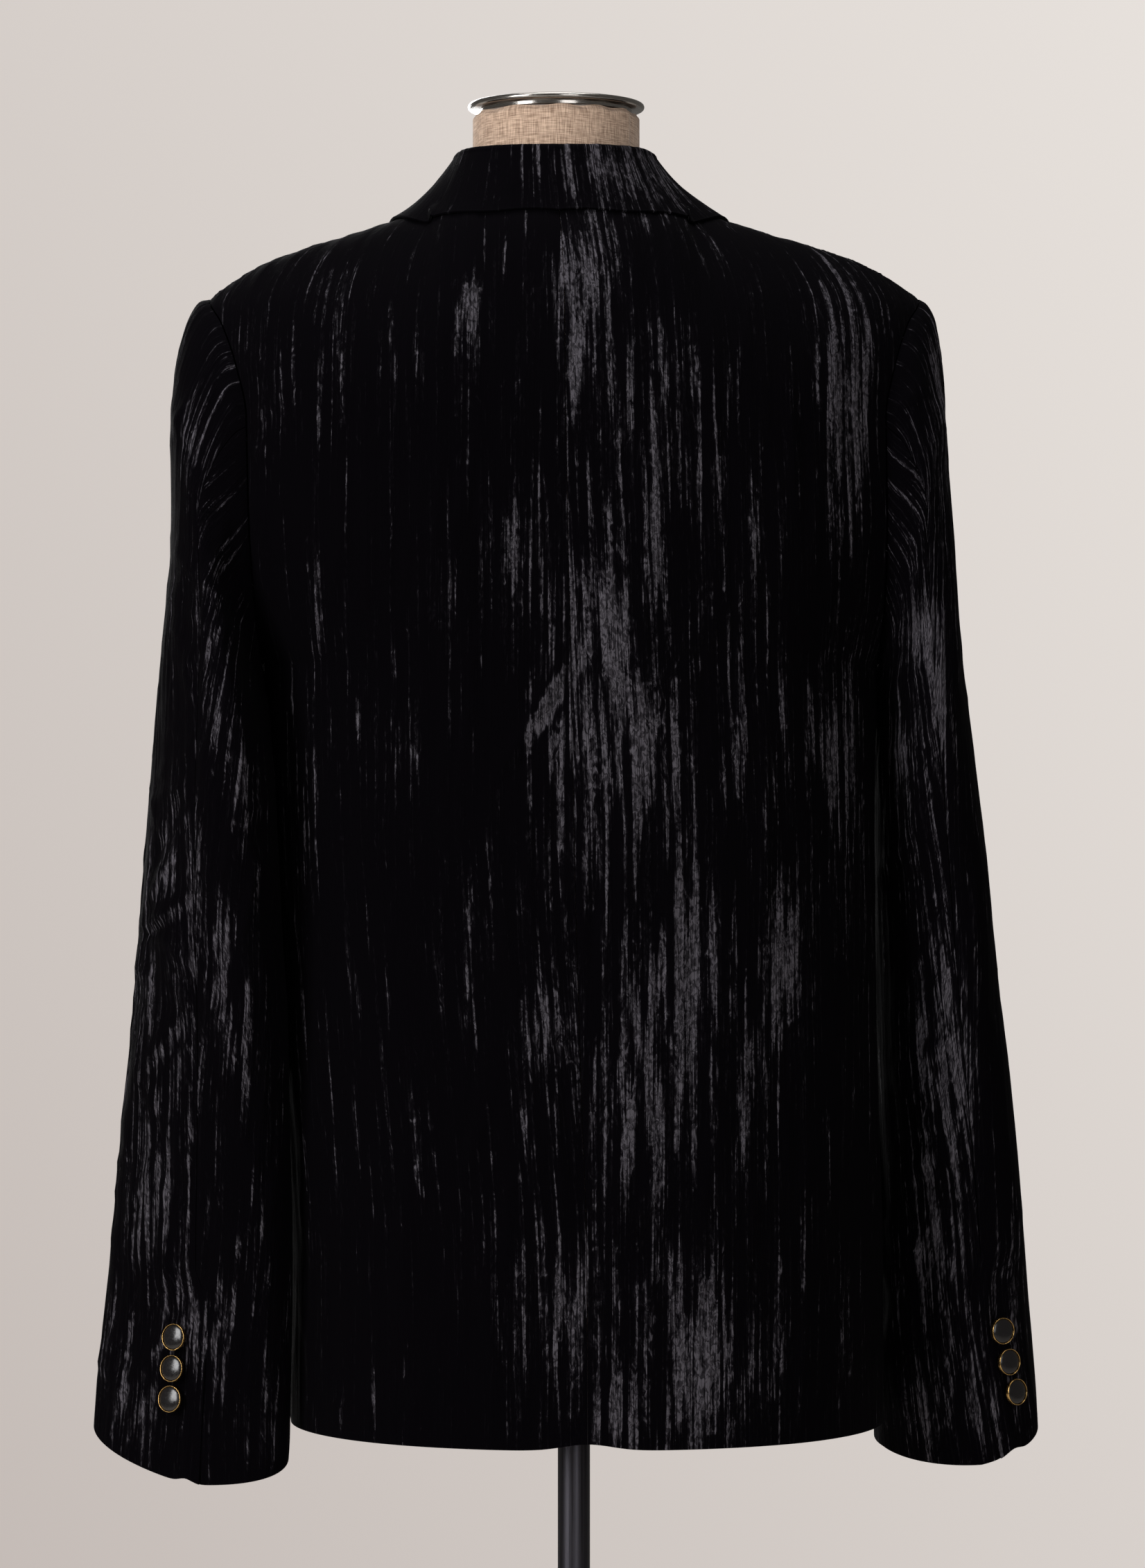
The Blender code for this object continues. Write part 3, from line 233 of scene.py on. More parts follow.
print(f"at the underarm the cloth is {cloth_y(0.0, UNDERARM_Z, 1) - cloth_y(0.0, UNDERARM_Z, -1):.3f} m deep")

# %% [markdown]
# ## Back and front panels as surfaces
#
# Each panel is a function of two shares: how far from the centre to the side, and how far from the
# hem to the shoulder. The right front laps over the left one at the button, as on women's blazers,
# and both front edges round off towards the hem.

# %% Panels
LAP_LIFT = 0.0054
SPLIT = 10 / 22
EDGE = np.array([
    (0.760, 0.0420), (0.790, 0.0330), (0.830, 0.0190), (0.880, 0.0040), (0.950, -0.0090), (1.020, -0.0160),
    (1.085, -0.0170), (1.110, -0.0120), (1.250, 0.0228), (1.350, 0.0470), (1.410, 0.0620), (1.4585, 0.0740),
])


def rise_of(k, top):
    """Height above the underarm at row k: cosine steps, so rows lie closer at both ends."""
    above = np.clip((k - SPLIT) / (1 - SPLIT), 0, 1)
    return (1 - np.cos(np.pi * above)) / 2 * (top - UNDERARM_Z)


def back_point(s, k, side):
    """Outer face of a back panel: s from the centre seam to the side, k from hem to shoulder."""
    def across(z):
        return SEAM / 2 + (body("half", z) - SEAM / 2) * np.sin(np.pi / 2 * s)
    top = np.full(np.broadcast(s, k).shape, SHOULDER_Z)
    for _ in range(8):
        top = top_z(across(top), NECK_BACK_Z)
    hem = HEM_Z + 0.0035 * np.exp(-(s / 0.07) ** 2)
    z = hem + (UNDERARM_Z - hem) * np.clip(k / SPLIT, 0, 1) + rise_of(k, top)
    x = side * across(z)
    return np.stack([x + body("lean", z), cloth_y(x, z, 1), z], -1)


def edge_x(z):
    """Front edge at a height; above the button it is the lapel's fold line."""
    return follow(z, EDGE[:, 0], EDGE[:, 1])


def lap(x, z, side):
    """How much further out the right front lies where it covers the left one."""
    if side > 0:
        return 0.0
    return LAP_LIFT * ease((0.055 - x) / 0.035) * (1 - ease((z - 1.17) / 0.08))


def front_point(s, k, side):
    """Outer face of a front panel: s from the front edge to the side, k from hem to shoulder."""
    def across(z):
        return edge_x(z) + (body("half", z) - edge_x(z)) * np.sin(np.pi / 2 * s)
    top = np.full(np.broadcast(s, k).shape, SHOULDER_Z)
    for _ in range(12):
        top = top_z(np.maximum(across(top), NECK_X), NECK_FRONT_Z)
    rounded = 0.034 * np.clip(1 - s / 0.30, 0, 1) ** 2.2
    hem = FRONT_HEM_Z + (HEM_Z - FRONT_HEM_Z) * ease(s) + rounded
    z = hem + (UNDERARM_Z - hem) * np.clip(k / SPLIT, 0, 1) + rise_of(k, top)
    x = across(z)
    return np.stack([side * x + body("lean", z), cloth_y(x, z, -1) - lap(x, z, side), z], -1)


def front_face(x, z, side, out):
    """A point on a front's outer face at (x, z), moved out by a distance along the normal."""
    step = 0.0004
    def depth(px, pz):
        return cloth_y(px, pz, -1) - lap(px, pz, side)
    y = depth(x, z)
    slope_x = (depth(x + step, z) - depth(x - step, z)) / (2 * step)
    slope_z = (depth(x, z + step) - depth(x, z - step)) / (2 * step)
    normal = unit(np.stack([slope_x, -np.ones_like(y), slope_z], -1))
    point = np.stack([x, y, z], -1) + out[..., None] * normal
    point[..., 0] = side * point[..., 0] + body("lean", z)
    return point


print(f"centre back {NECK_BACK_Z - HEM_Z:.3f} m from neck seam to hem")

# %% [markdown]
# ## Lapels and collar
#
# A lapel is the front's own edge folded back onto the chest. The collar is one strip: it stands up
# from the neck seam, rolls over and falls back to its outer edge. Both are drawn as the middle of
# the folded cloth, and the fold is a real half turn with a radius, never a sharp crease.

# %% Lapel surface
BREAK_Z = 1.0850
FOLD_START_Z = BREAK_Z + 0.007
GORGE_Z = 1.4080
LAPEL_GAP = 0.0012
LAPEL = np.array([
    (0.00, -0.0120, 1.092), (0.15, 0.0300, 1.130), (0.40, 0.0720, 1.205), (0.70, 0.1080, 1.295),
    (0.90, 0.1300, 1.362), (1.00, 0.1400, 1.398),
])


def lapel_point(b, v, side):
    """Middle of a lapel: v up the fold line, b across it. The first quarter of b is a quarter circle
    round the front's edge, and the rest is the leaf that lies on the front."""
    fold_z = FOLD_START_Z + (GORGE_Z - FOLD_START_Z) * v
    fold_x = edge_x(fold_z)
    far_x = np.maximum(follow(v, LAPEL[:, 0], LAPEL[:, 1]), fold_x + 0.004)
    far_z = follow(v, LAPEL[:, 0], LAPEL[:, 2])
    reach = WALL / 2 + LAPEL_GAP + LAPEL_WALL / 2
    bend = np.clip(b / 0.25, 0, 1) * np.pi / 2
    leaf = np.clip((b - 0.25) / 0.75, 0, 1)
    x = fold_x + (far_x - fold_x) * leaf - reach * np.cos(bend)
    z = fold_z + (far_z - fold_z) * leaf
    return front_face(x, z, side, reach * np.sin(bend) - WALL / 2)


lapel_width = LAPEL[-1, 1] - edge_x(LAPEL[-1, 2])
print(f"lapels {GORGE_Z - FOLD_START_Z:.3f} m high and up to {lapel_width:.3f} m wide")

# %% Where the collar rests
NECK_POINT_A = 0.54
ROLL_RADIUS = 0.0024
COLLAR_GAP = 0.0016
STAND_GAP = 0.0012
NOTCH_CORNER = (0.0900, 1.4085)
COLLAR_TIP = (0.1040, 1.4250)
COLLAR_COLUMNS = ("a", "height", "lean_in", "edge_x", "edge_y")
COLLAR = np.array([
    (0.00, 0.0300, 0.0010, 0.0000, 0.0850),
    (0.14, 0.0303, 0.0035, 0.0340, 0.0805),
    (0.28, 0.0305, 0.0095, 0.0650, 0.0625),
    (0.42, 0.0300, 0.0165, 0.0870, 0.0345),
    (0.54, 0.0275, 0.0190, 0.0965, 0.0030),
    (0.68, 0.0170, 0.0120, 0.1010, -0.0260),
    (0.84, 0.0075, 0.0040, 0.1030, -0.0500),
    (1.00, 0.0048, 0.0000, 0.1040, -0.0600),
])


def drop_on_cloth(x, y):
    """Height of the cloth under a plan point near the shoulders, found by halving."""
    low = np.full(np.shape(x), 1.300)
    high = np.where(y > 0, top_z(x, NECK_BACK_Z), top_z(x, NECK_FRONT_Z))
    for _ in range(24):
        middle = (low + high) / 2
        depth = np.where(y > 0, cloth_y(x, middle, 1), -cloth_y(x, middle, -1))
        inside = depth > np.abs(y)
        low = np.where(inside, middle, low)
        high = np.where(inside, high, middle)
    return (low + high) / 2


def above_cloth(x, y, gap):
    """Height that clears the cloth under a plan point by a gap measured along its normal."""
    step = 0.0008
    height = drop_on_cloth(x, y)
    slope_x = (drop_on_cloth(x + step, y) - drop_on_cloth(x - step, y)) / (2 * step)
    slope_y = (drop_on_cloth(x, y + step) - drop_on_cloth(x, y - step)) / (2 * step)
    return height + gap * np.sqrt(1 + np.minimum(slope_x ** 2 + slope_y ** 2, 6.0))


def collar_seam(a):
    """Foot of the stand along the neckline, and the direction that the stand rises in: straight up
    at the back, turning to the front's own normal at the front end."""
    turn = np.pi / 2 * np.clip(a / NECK_POINT_A, 0, 1)
    x = NECK_X * np.sin(turn) + 0.0010 * np.sin(turn)
    y = NECK_BACK_Y * (1 - np.sin(turn) ** 2.2) ** 0.6 + 0.0010 * np.cos(turn)
    back = np.stack([x, y, above_cloth(x, np.maximum(y, 0.0004), STAND_GAP)], -1)
    share = np.clip((a - NECK_POINT_A) / (1 - NECK_POINT_A), 0, 1)
    low = np.array(GORGE_Z + 0.0030)
    end_y = cloth_y(edge_x(low) + 0.0010, low, -1)
    front_x = np.full(np.shape(a), NECK_X + 0.0010)
    for _ in range(6):
        front_z = drop_on_cloth(front_x, end_y * np.maximum(share, 1e-4))
        front_x = edge_x(front_z) + 0.0010
    front = front_face(front_x, front_z, 1, np.full(np.shape(a), STAND_GAP))
    away = front_face(front_x, front_z, 1, np.full(np.shape(a), 0.01)) - front
    front[..., 0] -= body("lean", front[..., 2])
    up = unit(away) * share[..., None] + np.array([0, 0, 1.0]) * (1 - share[..., None])
    return np.where((a <= NECK_POINT_A)[..., None], back, front), unit(up)


print("collar measured at", 2 * len(COLLAR) - 1, "places round the neck")

# %% Collar surface
def collar_point(b, a):
    """Middle of the collar: a from one front end (-1) round the back (0) to the other (1), b from
    the neck seam up the stand (to 0.30), over a half circle (to 0.55) and down the fall."""
    side, a = np.where(a < 0, -1.0, 1.0), np.abs(a)
    def get(name):
        return column(COLLAR, COLLAR_COLUMNS, name, a)
    seam, up = collar_seam(a)
    inward = unit(seam * np.array([-1.0, -1.0, 0.0]))
    roll = seam + get("height")[..., None] * up + get("lean_in")[..., None] * inward
    edge = np.stack([get("edge_x"), get("edge_y"), np.zeros_like(a)], -1)
    out = (edge - roll) * np.array([1.0, 1.0, 0.0])
    out = unit(out - np.sum(out * up, -1, keepdims=True) * up)
    centre = roll - ROLL_RADIUS * up
    gap = COLLAR_WALL / 2 + COLLAR_GAP
    edge[..., 2] = above_cloth(edge[..., 0], edge[..., 1], gap)
    stand = np.clip(b / 0.30, 0, 1)[..., None]
    bend = (np.clip((b - 0.30) / 0.25, 0, 1) * np.pi)[..., None]
    fall = np.clip((b - 0.55) / 0.45, 0, 1)
    on_roll = centre + ROLL_RADIUS * (np.sin(bend) * up - np.cos(bend) * out)
    first = centre + ROLL_RADIUS * out
    length = np.linalg.norm(edge - first, axis=-1, keepdims=True)
    front = ease((a - NECK_POINT_A) / 0.3)[..., None]
    bow = (first + edge) / 2 - 0.16 * length * (1 - front) * up
    f = fall[..., None]
    on_fall = (1 - f) ** 2 * first + 2 * f * (1 - f) * bow + f ** 2 * edge
    end = ease((a - 0.78) / 0.22)
    corner = front_face(np.array(NOTCH_CORNER[0]), np.array(NOTCH_CORNER[1]), 1, np.array(gap))
    tip = front_face(np.array(COLLAR_TIP[0]), np.array(COLLAR_TIP[1]), 1, np.array(gap))
    corner[0] -= body("lean", corner[2])
    tip[0] -= body("lean", tip[2])
    gorge = first + (corner - first) * np.clip(f / 0.6, 0, 1)
    gorge = gorge + (tip - corner) * np.clip((f - 0.6) / 0.4, 0, 1)
    on_fall = on_fall + (gorge - on_fall) * end[..., None]
    floor = above_cloth(on_fall[..., 0], on_fall[..., 1], gap * (0.2 + 0.8 * ease(fall / 0.25)))
    lifted = np.maximum(on_fall[..., 2], floor)
    on_fall[..., 2] = np.where(fall > 0.02, lifted, on_fall[..., 2])
    on_stand = seam + (centre - ROLL_RADIUS * out - seam) * stand
    point = np.where(b[..., None] < 0.30, on_stand, np.where(b[..., None] < 0.55, on_roll, on_fall))
    point[..., 0] = side * point[..., 0] + body("lean", point[..., 2])
    return point


print("back of the roll at", collar_point(np.array([0.42]), np.array([0.0]))[0].round(3).tolist())

# %% [markdown]
# ## Sleeves
#
# A tailored sleeve is two pieces, an upper and an under sleeve, with one seam at the back and one at
# the front. It hangs empty here, so it is flatter than an arm. Each ring is an ellipse, upright at
# the armhole and level at the cuff, and the first centimetres are drawn onto the body's armhole.

# %% Sleeve measures
SLEEVE_COLUMNS = ("v", "outer_x", "outer_z", "inner_x", "inner_z", "mid_y", "half_y", "lean_y", "drop",
                  "seam")
SLEEVE_LEFT = np.array([
    (0.00, 0.2098, 1.4078, 0.1792, 1.1965, 0.002, 0.0600, 0.000, 0.000, 75),
    (0.02, 0.2148, 1.4062, 0.1793, 1.1935, 0.002, 0.0610, 0.000, 0.000, 75),
    (0.05, 0.2224, 1.3942, 0.1793, 1.1890, 0.002, 0.0630, 0.000, 0.000, 75),
    (0.10, 0.2300, 1.3640, 0.1788, 1.1820, 0.004, 0.0655, -0.004, 0.000, 76),
    (0.17, 0.2332, 1.3246, 0.1770, 1.1720, 0.008, 0.0680, -0.014, 0.000, 77),
    (0.25, 0.2332, 1.2720, 0.1742, 1.1550, 0.012, 0.0690, -0.026, 0.000, 78),
    (0.34, 0.2382, 1.2060, 0.1716, 1.1270, 0.016, 0.0670, -0.032, 0.000, 79),
    (0.43, 0.2434, 1.1470, 0.1692, 1.0900, 0.019, 0.0630, -0.032, 0.000, 80),
    (0.53, 0.2482, 1.0850, 0.1662, 1.0430, 0.022, 0.0570, -0.030, 0.000, 82),
    (0.63, 0.2520, 1.0270, 0.1624, 0.9910, 0.024, 0.0510, -0.028, 0.000, 84),
    (0.73, 0.2570, 0.9660, 0.1604, 0.9350, 0.024, 0.0450, -0.027, 0.000, 86),
    (0.82, 0.2640, 0.8980, 0.1590, 0.8750, 0.022, 0.0395, -0.027, -0.002, 88),
    (0.91, 0.2705, 0.8330, 0.1596, 0.8150, 0.020, 0.0335, -0.027, -0.005, 90),
    (1.00, 0.2784, 0.7570, 0.1614, 0.7450, 0.018, 0.0295, -0.027, -0.010, 90),
])
SLEEVE_RIGHT = np.array([
    (0.00, 0.1990, 1.4078, 0.1752, 1.1965, 0.002, 0.0600, 0.000, 0.000, 75),
    (0.02, 0.2024, 1.4055, 0.1753, 1.1935, 0.002, 0.0610, 0.000, 0.000, 75),
    (0.05, 0.2076, 1.3960, 0.1754, 1.1890, 0.002, 0.0635, 0.000, 0.000, 75),
    (0.10, 0.2118, 1.3650, 0.1756, 1.1820, 0.000, 0.0665, 0.003, 0.000, 75),
    (0.17, 0.2136, 1.3246, 0.1752, 1.1720, -0.004, 0.0690, 0.010, 0.000, 75),
    (0.25, 0.2170, 1.2700, 0.1740, 1.1550, -0.010, 0.0700, 0.022, 0.000, 75),
    (0.34, 0.2226, 1.2050, 0.1735, 1.1270, -0.016, 0.0685, 0.028, 0.000, 75),
    (0.43, 0.2302, 1.1460, 0.1732, 1.0900, -0.020, 0.0660, 0.028, 0.000, 75),
    (0.53, 0.2378, 1.0840, 0.1732, 1.0430, -0.023, 0.0610, 0.027, 0.000, 75),
    (0.63, 0.2438, 1.0260, 0.1738, 0.9910, -0.026, 0.0560, 0.025, 0.000, 74),
    (0.73, 0.2518, 0.9650, 0.1745, 0.9350, -0.028, 0.0510, 0.023, 0.000, 73),
    (0.82, 0.2588, 0.8970, 0.1754, 0.8750, -0.030, 0.0470, 0.021, -0.002, 71),
    (0.91, 0.2634, 0.8330, 0.1758, 0.8150, -0.031, 0.0445, 0.019, -0.005, 68),
    (1.00, 0.2696, 0.7570, 0.1760, 0.7450, -0.032, 0.0420, 0.017, -0.010, 50),
])
FRONT_SEAM_DEG = -75
# The largest folds of the sleeves: angle, share of the length, half length, width, height, slant
SLEEVE_FOLDS_LEFT = np.array([
    (45, 0.30, 0.14, 19, 0.0026, -90),
    (118, 0.34, 0.14, 19, 0.0024, 60),
    (60, 0.58, 0.09, 20, 0.0034, 240),
    (112, 0.66, 0.10, 19, 0.0030, -200),
    (40, 0.72, 0.08, 20, 0.0028, -240),
    (130, 0.86, 0.10, 20, 0.0024, 40),
    (225, 0.60, 0.16, 20, 0.0024, 60),
    (315, 0.60, 0.14, 20, 0.0028, -160),
    (180, 0.13, 0.13, 36, 0.0022, 0),
    (180, 0.42, 0.34, 26, 0.0018, 0),
])
SLEEVE_FOLDS_RIGHT = np.array([
    (45, 0.30, 0.12, 19, 0.0026, 60),
    (112, 0.38, 0.12, 19, 0.0024, -80),
    (48, 0.60, 0.12, 20, 0.0030, 140),
    (110, 0.70, 0.12, 20, 0.0030, -120),
    (225, 0.62, 0.16, 20, 0.0024, -60),
    (318, 0.62, 0.14, 20, 0.0028, 140),
    (180, 0.13, 0.13, 36, 0.0022, 0),
    (180, 0.42, 0.34, 26, 0.0018, 0),
])
print("sleeve measures:", len(SLEEVE_LEFT), "heights and", len(SLEEVE_FOLDS_LEFT), "folds on the left")


# %% Sleeve surface
SET_IN = 0.13


def sleeve(table, name, v):
    """A measure of a sleeve at a share of its length."""
    return column(table, SLEEVE_COLUMNS, name, v)


def armhole_point(u, side):
    """The armhole's edge on the body at angle u: 0 the shoulder, 90 the back, 180 the underarm."""
    z = (SHOULDER_Z + UNDERARM_Z) / 2 + (SHOULDER_Z - UNDERARM_Z) / 2 * np.cos(u)
    x = body("half", z)
    y = np.where(np.sin(u) >= 0, cloth_y(x, z, 1), cloth_y(x, z, -1))
    return np.stack([side * x + body("lean", z), y, z], -1)


def sleeve_point(u, v, side, table, fold_table):
    """Outer face of a sleeve: middle + half width * cos u + depth * sin u, with the folds added to
    the radius, and the first part, SET_IN of its length, pulled onto the armhole's own edge."""
    def get(name):
        return sleeve(table, name, v)
    middle_x, half_x = (get("outer_x") + get("inner_x")) / 2, (get("outer_x") - get("inner_x")) / 2
    middle_z, half_z = (get("outer_z") + get("inner_z")) / 2, (get("outer_z") - get("inner_z")) / 2
    turn = np.degrees(u) % 360
    relief = np.zeros(np.broadcast(u, v).shape)
    for angle, fold_v, half_v, width, height, slant in fold_table:
        away = (turn - angle - slant * (v - fold_v) + 180) % 360 - 180
        along = np.clip(1 - ((v - fold_v) / half_v) ** 2, 0, 1) ** 1.5
        relief = relief + height * np.exp(-(away / width) ** 2) * along
    cosine, sine = np.cos(u), np.sin(u)
    x = side * (middle_x + (half_x + relief * np.sign(half_x)) * cosine)
    y = get("mid_y") + get("lean_y") * cosine + (get("half_y") + relief) * sine
    z = middle_z + half_z * cosine + get("drop") * sine
    first = table[0]
    first_x = side * ((first[1] + first[3]) / 2 + (first[1] - first[3]) / 2 * cosine)
    first_z = (first[2] + first[4]) / 2 + (first[2] - first[4]) / 2 * cosine
    first_y = first[5] + first[6] * sine
    start = armhole_point(u, side) + np.array([side * ARMHOLE_GAP, 0, 0])
    pull = start - np.stack([first_x, first_y, first_z], -1)
    return np.stack([x, y, z], -1) + pull * (1 - ease(v / SET_IN))[..., None]


cuff = sleeve_point(np.radians([0.0, 180.0]), np.ones(2), 1, SLEEVE_LEFT, SLEEVE_FOLDS_LEFT)
print(f"left cuff {np.linalg.norm(cuff[0] - cuff[1]):.3f} m wide")

# %% [markdown]
# ## Creases, listed one by one
#
# Crushed velvet is never smooth. A few long folds come from how the jacket hangs and from the box it
# was packed in, and they are put in from short tables, each with its own place, slant, length and
# depth. Modelling them as real relief lets light and shade find them from every side. Positions
# are x and z as seen from behind, or from the front for the hidden side.

# %% Creases behind
# Columns: x, z, degrees from upright, half length, width, height
BACK_CREASES = np.array([
    (0.0180, 1.1740, 31, 0.050, 0.0034, 0.0024),
    (0.0115, 1.1660, 33, 0.044, 0.0030, -0.0018),
    (0.0300, 1.1480, 48, 0.022, 0.0034, 0.0014),
    (0.0660, 1.0800, 90, 0.094, 0.0026, -0.0008),
    (-0.0600, 1.0790, 88, 0.050, 0.0026, -0.0005),
    (0.0600, 1.2900, 12, 0.050, 0.0040, 0.0013),
    (0.0480, 1.2400, -8, 0.040, 0.0042, -0.0012),
    (0.0050, 1.2350, 8, 0.060, 0.0036, 0.0012),
    (-0.0180, 1.2100, -3, 0.080, 0.0046, 0.0013),
    (-0.0350, 1.1500, 3, 0.110, 0.0050, 0.0014),
    (-0.0120, 1.0600, 5, 0.070, 0.0042, -0.0013),
    (-0.0560, 1.0200, -2, 0.090, 0.0050, 0.0014),
    (0.0380, 1.0350, -6, 0.040, 0.0044, 0.0012),
    (0.0500, 0.9600, 10, 0.060, 0.0046, 0.0011),
    (0.0100, 0.9300, -14, 0.045, 0.0040, 0.0014),
    (-0.0240, 0.9000, 6, 0.070, 0.0044, 0.0013),
    (-0.0700, 0.8700, 4, 0.070, 0.0046, 0.0013),
    (0.0480, 0.8400, -5, 0.060, 0.0046, 0.0012),
    (0.0940, 0.8800, 3, 0.080, 0.0050, 0.0012),
    (-0.1060, 1.1000, 2, 0.100, 0.0046, 0.0013),
    (-0.1220, 1.3100, -4, 0.070, 0.0046, 0.0012),
    (-0.0850, 1.3300, 2, 0.060, 0.0044, -0.0010),
    (0.0900, 1.3500, -9, 0.050, 0.0044, 0.0013),
    (0.1220, 1.3000, -4, 0.070, 0.0050, -0.0011),
    (0.1400, 1.1300, 4, 0.080, 0.0050, 0.0012),
    (0.1520, 0.9300, -3, 0.100, 0.0052, 0.0014),
    (-0.1500, 0.9800, 3, 0.110, 0.0052, 0.0013),
    (0.2260, 1.3350, -24, 0.030, 0.0040, 0.0016),
    (0.2140, 1.3100, -30, 0.036, 0.0040, -0.0014),
    (0.2040, 1.2500, 18, 0.040, 0.0042, 0.0016),
    (0.2200, 1.2000, -12, 0.044, 0.0044, 0.0016),
    (0.2060, 1.1350, -20, 0.040, 0.0042, 0.0018),
    (0.2360, 1.0900, 30, 0.030, 0.0038, -0.0018),
    (0.2300, 1.0560, 56, 0.026, 0.0034, 0.0022),
    (0.2420, 1.0430, 74, 0.022, 0.0034, -0.0022),
    (0.2200, 1.0300, -48, 0.030, 0.0036, 0.0020),
    (0.2020, 1.0000, -26, 0.036, 0.0040, 0.0018),
    (0.2330, 0.9820, 38, 0.030, 0.0038, 0.0018),
    (0.1960, 0.9480, 20, 0.038, 0.0040, -0.0016),
    (0.2200, 0.9200, -14, 0.044, 0.0044, 0.0016),
    (0.2440, 0.8800, 10, 0.040, 0.0044, 0.0014),
    (0.2000, 0.8500, 32, 0.026, 0.0038, 0.0016),
    (0.2320, 0.8000, -8, 0.032, 0.0042, 0.0014),
    (-0.2020, 1.3200, 16, 0.034, 0.0040, 0.0014),
    (-0.1900, 1.2480, -10, 0.036, 0.0042, 0.0016),
    (-0.2040, 1.2260, 34, 0.024, 0.0036, -0.0016),
    (-0.2100, 1.1600, -14, 0.044, 0.0042, 0.0014),
    (-0.2000, 1.1000, -6, 0.050, 0.0046, 0.0014),
    (-0.2140, 1.0400, -10, 0.046, 0.0044, 0.0016),
    (-0.2040, 0.9760, 70, 0.016, 0.0030, 0.0014),
    (-0.2060, 0.9560, 76, 0.016, 0.0030, 0.0014),
    (-0.2090, 0.9350, 72, 0.017, 0.0030, 0.0013),
    (-0.2110, 0.9140, 78, 0.016, 0.0030, 0.0012),
    (-0.2280, 0.9000, -12, 0.050, 0.0044, 0.0014),
    (-0.2200, 0.8300, -16, 0.040, 0.0042, 0.0014),
    (-0.2420, 0.8200, 8, 0.036, 0.0042, -0.0013),
])
print(len(BACK_CREASES), "creases placed by hand behind")

# %% Creases in front
FRONT_CREASES = np.array([
    (0.0700, 1.2700, 14, 0.060, 0.0046, 0.0013),
    (0.1150, 1.2300, -8, 0.070, 0.0050, 0.0014),
    (0.0400, 1.0600, 52, 0.036, 0.0040, 0.0018),
    (0.0620, 1.0450, 60, 0.040, 0.0042, -0.0014),
    (0.0900, 1.0400, 38, 0.044, 0.0044, 0.0014),
    (0.0800, 0.9400, 6, 0.070, 0.0050, 0.0013),
    (0.1300, 0.9000, -4, 0.090, 0.0050, 0.0014),
    (0.0500, 0.8600, -9, 0.050, 0.0046, 0.0012),
    (-0.0400, 1.0640, -50, 0.036, 0.0040, 0.0018),
    (-0.0660, 1.0480, -58, 0.040, 0.0042, -0.0014),
    (-0.0980, 1.0300, -34, 0.044, 0.0044, 0.0014),
    (-0.0720, 1.2400, -12, 0.070, 0.0048, 0.0013),
    (-0.1180, 1.2800, 6, 0.070, 0.0050, 0.0013),
    (-0.0860, 0.9200, -5, 0.080, 0.0050, 0.0014),
    (-0.1320, 0.9400, 5, 0.080, 0.0050, 0.0013),
    (-0.0460, 0.8600, 10, 0.050, 0.0046, 0.0012),
    (0.2150, 1.2600, 14, 0.050, 0.0044, 0.0016),
    (0.2100, 1.1700, -16, 0.044, 0.0042, -0.0014),
    (0.2250, 1.0700, 44, 0.030, 0.0038, 0.0020),
    (0.2100, 1.0400, -52, 0.030, 0.0038, 0.0018),
    (0.2300, 0.9800, 20, 0.040, 0.0042, 0.0016),
    (0.2150, 0.8800, -10, 0.060, 0.0046, 0.0014),
    (-0.1980, 1.2700, -12, 0.050, 0.0044, 0.0016),
    (-0.2080, 1.1500, 18, 0.044, 0.0042, -0.0014),
    (-0.2150, 1.0600, -46, 0.030, 0.0038, 0.0020),
    (-0.2050, 1.0300, 40, 0.030, 0.0038, 0.0016),
    (-0.2250, 0.9500, -14, 0.050, 0.0044, 0.0016),
    (-0.2200, 0.8500, 10, 0.050, 0.0046, 0.0014),
])
print(len(FRONT_CREASES), "creases placed by hand in front")

# %% [markdown]
# Between them lie many small creases. Nobody can place hundreds by hand, so their places, leans and
# sizes are drawn from fixed seeds, within ranges that fit an arm or the body.


# %% Small creases
def scattered(seed, count, across, up, leans, half_lengths, heights):
    """Rows of small creases in the tables' order: places, leans and sizes drawn evenly in ranges."""
    draw = np.random.default_rng(seed)
    lean = draw.uniform(*leans, count) * draw.choice([-1.0, 1.0], count)
    return np.stack([draw.uniform(*across, count), draw.uniform(*up, count), lean,
                     draw.uniform(*half_lengths, count), draw.uniform(0.0026, 0.0042, count),
                     draw.uniform(*heights, count)], -1)


LEFT_ARM, RIGHT_ARM, TORSO, LENGTH = (0.165, 0.280), (-0.272, -0.178), (-0.160, 0.160), (0.765, 1.370)
BACK_CREASES = np.concatenate([
    BACK_CREASES,
    scattered(3, 130, LEFT_ARM, LENGTH, (6, 62), (0.014, 0.036), (0.0006, 0.0015)),
    scattered(4, 90, RIGHT_ARM, LENGTH, (3, 48), (0.012, 0.034), (0.0005, 0.0013)),
    scattered(5, 90, TORSO, LENGTH, (0, 20), (0.020, 0.060), (0.0004, 0.0010)),
])
FRONT_CREASES = np.concatenate([
    FRONT_CREASES,
    scattered(6, 110, LEFT_ARM, LENGTH, (4, 56), (0.014, 0.036), (0.0006, 0.0014)),
    scattered(7, 90, RIGHT_ARM, LENGTH, (4, 50), (0.012, 0.034), (0.0005, 0.0013)),
    scattered(8, 90, TORSO, LENGTH, (0, 20), (0.020, 0.060), (0.0004, 0.0010)),
])
print("with the small ones", len(BACK_CREASES), "behind and", len(FRONT_CREASES), "in front")


